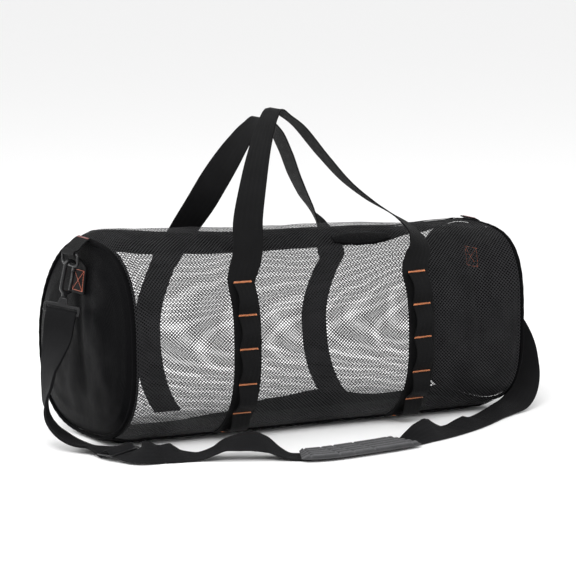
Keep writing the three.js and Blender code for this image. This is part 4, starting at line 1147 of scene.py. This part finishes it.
def strap_path(strap, adjuster, adjuster_reach):
    slot_reach = SLOT + ADJUSTER_BAR / 2
    under = -(ADJUSTER_THICK / 2 + SEAM_GAP + THICK / 2)
    over = -under
    step = THICK + 2 * SEAM_GAP
    clear, settle, edge, hem = slot_reach + ADJUSTER_BAR + 2, 16, ADJUSTER_BAR / 2 + SEAM_GAP, 1.5
    place, across, tangent, out = adjuster

    def through(knots):
        return [(place + tangent * ahead + out * off, across) for ahead, off in knots]

    def layer_off(reach):
        from_end = min(reach, strap.length - reach)
        return BAR_ROUND + (LAYER_APART - BAR_ROUND) * float(smoothstep(from_end, 6, 32))

    def right_off(reach):
        return -layer_off(reach) * float(smoothstep(reach, strap.length - 90, strap.length - 40))

    def run(start, end, steps, off):
        return [strap.frame(r, off(r))[:2] for r in np.linspace(start, end, steps + 1)]

    def round_bar(end):
        return [(end["bar"] - end["face"] * x - end["down"] * y, end["across"])
                for x, y in arc(0, 0, BAR_ROUND, 0, 180, 12)]

    before, after = adjuster_reach - clear - settle, adjuster_reach + clear + settle
    return [
        *through([(edge, over), (-edge, over), (-slot_reach + SEAM_GAP, under - step),
                  (-clear, under - step)]),
        *run(before, hem, 60, lambda r: -layer_off(r)),
        *round_bar(STRAP_ENDS["left"]),
        *run(hem, before, 60, layer_off),
        *through([(-clear, under), (-slot_reach + SEAM_GAP, under), (-edge, over + step), (edge, over + step),
                  (slot_reach - SEAM_GAP, under), (clear, under)]),
        *run(after, strap.length - hem, 300, right_off),
        *round_bar(STRAP_ENDS["right"]),
        *run(strap.length - hem, strap.length - STRAP_HEM, 14, layer_off),
    ]


def make_strap():
    """The loose strap, its adjuster and its shoulder pad."""
    strap = Strap()
    adjuster_reach = strap.reach(11)
    spot = strap.frame(adjuster_reach, 0)
    add_webbing("loose_strap", strap_path(strap, spot, adjuster_reach), WEBBING, "shoulder_strap", "strap")
    place, across, tangent, out = spot
    half, end, corner = WEBBING / 2 + SEAM_GAP + ADJUSTER_BAR, SLOT + ADJUSTER_BAR * 1.5, 3
    quarter = [(half, end - corner), (half - corner * 0.3, end - corner * 0.3), (half - corner, end)]
    outline = quarter + [(-x, y) for x, y in reversed(quarter)]
    outline += [(-x, -y) for x, y in quarter] + [(x, -y) for x, y in reversed(quarter)]
    inner, low, high = half - ADJUSTER_BAR, ADJUSTER_BAR / 2, SLOT + ADJUSTER_BAR / 2
    slots = [[(-inner, s * low), (-inner, s * high), (inner, s * high), (inner, s * low)] for s in (-1, 1)]
    verts, faces = moulded(outline, slots, ADJUSTER_THICK, 0.7)
    basis = np.stack([across, tangent, out], axis=1)
    verts = place + verts @ basis.T
    add_piece("slide_adjuster", verts, faces, "plastic", replaces=("strap_adjuster",))
    make_pad(strap)


def make_pad(strap):
    """The shoulder pad: foam in a ribbed sleeve with cross seams."""
    steps, wide = 120, 34
    middle = strap.reach(28)
    stand = THICK / 2 + 2 * SEAM_GAP
    top, bottom, uv = [], [], []
    for i in range(steps + 1):
        at = PAD_LENGTH * (i / steps)
        from_end = min(at, PAD_LENGTH - at)
        corner = max(1 - from_end / PAD_CORNER, 0)
        half = PAD_WIDTH / 2 - PAD_CORNER * (1 - math.sqrt(1 - corner * corner))
        place, across, _, out = strap.frame(middle + at - PAD_LENGTH / 2, stand)
        dip = max(math.exp(-((at - seam) / 1.3) ** 2) for seam in PAD_SEAMS)
        for j in range(wide + 1):
            a = (j / wide * 2 - 1) * half
            edge = half - abs(a)
            rib = 0.5 + 0.5 * math.cos(2 * math.pi * a / PAD_RIB)
            crown = 1.2 + 3.0 * float(smoothstep(min(edge, from_end), 0.5, 7))
            height = crown + 1.3 * rib * float(smoothstep(edge, 3, 8))
            height -= 2.2 * dip * float(smoothstep(edge, 1, 5))
            top.append(place + across * a + out * height)
            bottom.append(place + across * a)
            uv.append((a, at))
    shape = (steps + 1, wide + 1, 3)
    verts, faces = shell(np.array(top).reshape(shape), np.array(bottom).reshape(shape))
    pad = add_piece("shoulder_cushion", verts, faces, "pad", uv=uv + uv, replaces=("shoulder_pad",))


# The photograph's camera, in metres and degrees
CAMERA_PLACE = (-2.13015, -3.85896, 0.82711)
CAMERA_DOWN = 8.339
CAMERA_ROUND = -28.998
LENS = 203.8
FLOOR_HALF = 14


def make_camera():
    data = bpy.data.cameras.new("camera")
    data.lens = LENS
    data.sensor_width = 36
    camera = bpy.data.objects.new("camera", data)
    camera.location = CAMERA_PLACE
    camera.rotation_euler = (math.radians(90 - CAMERA_DOWN), 0, math.radians(CAMERA_ROUND))
    bpy.context.scene.collection.objects.link(camera)
    bpy.context.scene.camera = camera


def area_light(name, place, aim, size, power):
    data = bpy.data.lights.new(name, "AREA")
    data.shape = "DISK"
    data.size = size
    data.energy = power
    light = bpy.data.objects.new(name, data)
    light.location = place
    light.rotation_euler = (Vector(aim) - Vector(place)).to_track_quat("-Z", "Y").to_euler()
    bpy.context.scene.collection.objects.link(light)


def make_studio():
    """A pale floor and soft light."""
    scene = bpy.context.scene
    scene.view_settings.view_transform = "Standard"
    world = bpy.data.worlds.new("studio")
    scene.world = world
    world.use_nodes = True
    world.node_tree.nodes["Background"].inputs["Color"].default_value = (1, 1, 1, 1)
    world.node_tree.nodes["Background"].inputs["Strength"].default_value = 0.95
    floor = bpy.data.meshes.new("floor")
    corners = [(x * FLOOR_HALF, y * FLOOR_HALF, 0) for x, y in ((-1, -1), (1, -1), (1, 1), (-1, 1))]
    floor.from_pydata(corners, [], [(0, 1, 2, 3)])
    stage = bpy.data.objects.new("floor", floor)
    stage.location.z = -0.0004
    scene.collection.objects.link(stage)
    paper = Look("paper_floor", (0.93, 0.93, 0.93), 0.85)
    where, _ = paper.axes()
    paper.bump(paper.cloud(where, 1.5), 0.00005, 0.2)
    floor.materials.append(paper.material)
    area_light("key", (-1.6, -2.2, 2.4), (0, 0, 0.1), 1.6, 60)
    area_light("rim", (-2.2, 1.0, 1.6), (-0.2, 0, 0.15), 1.2, 45)
    area_light("fill", (2.2, -1.6, 1.4), (0.1, 0, 0.15), 1.8, 25)


make_camera()
make_studio()
make_walls()
for end_word, end_side in ENDS:
    make_end(end_word, end_side)
make_webbing()
make_hardware()
make_strap()
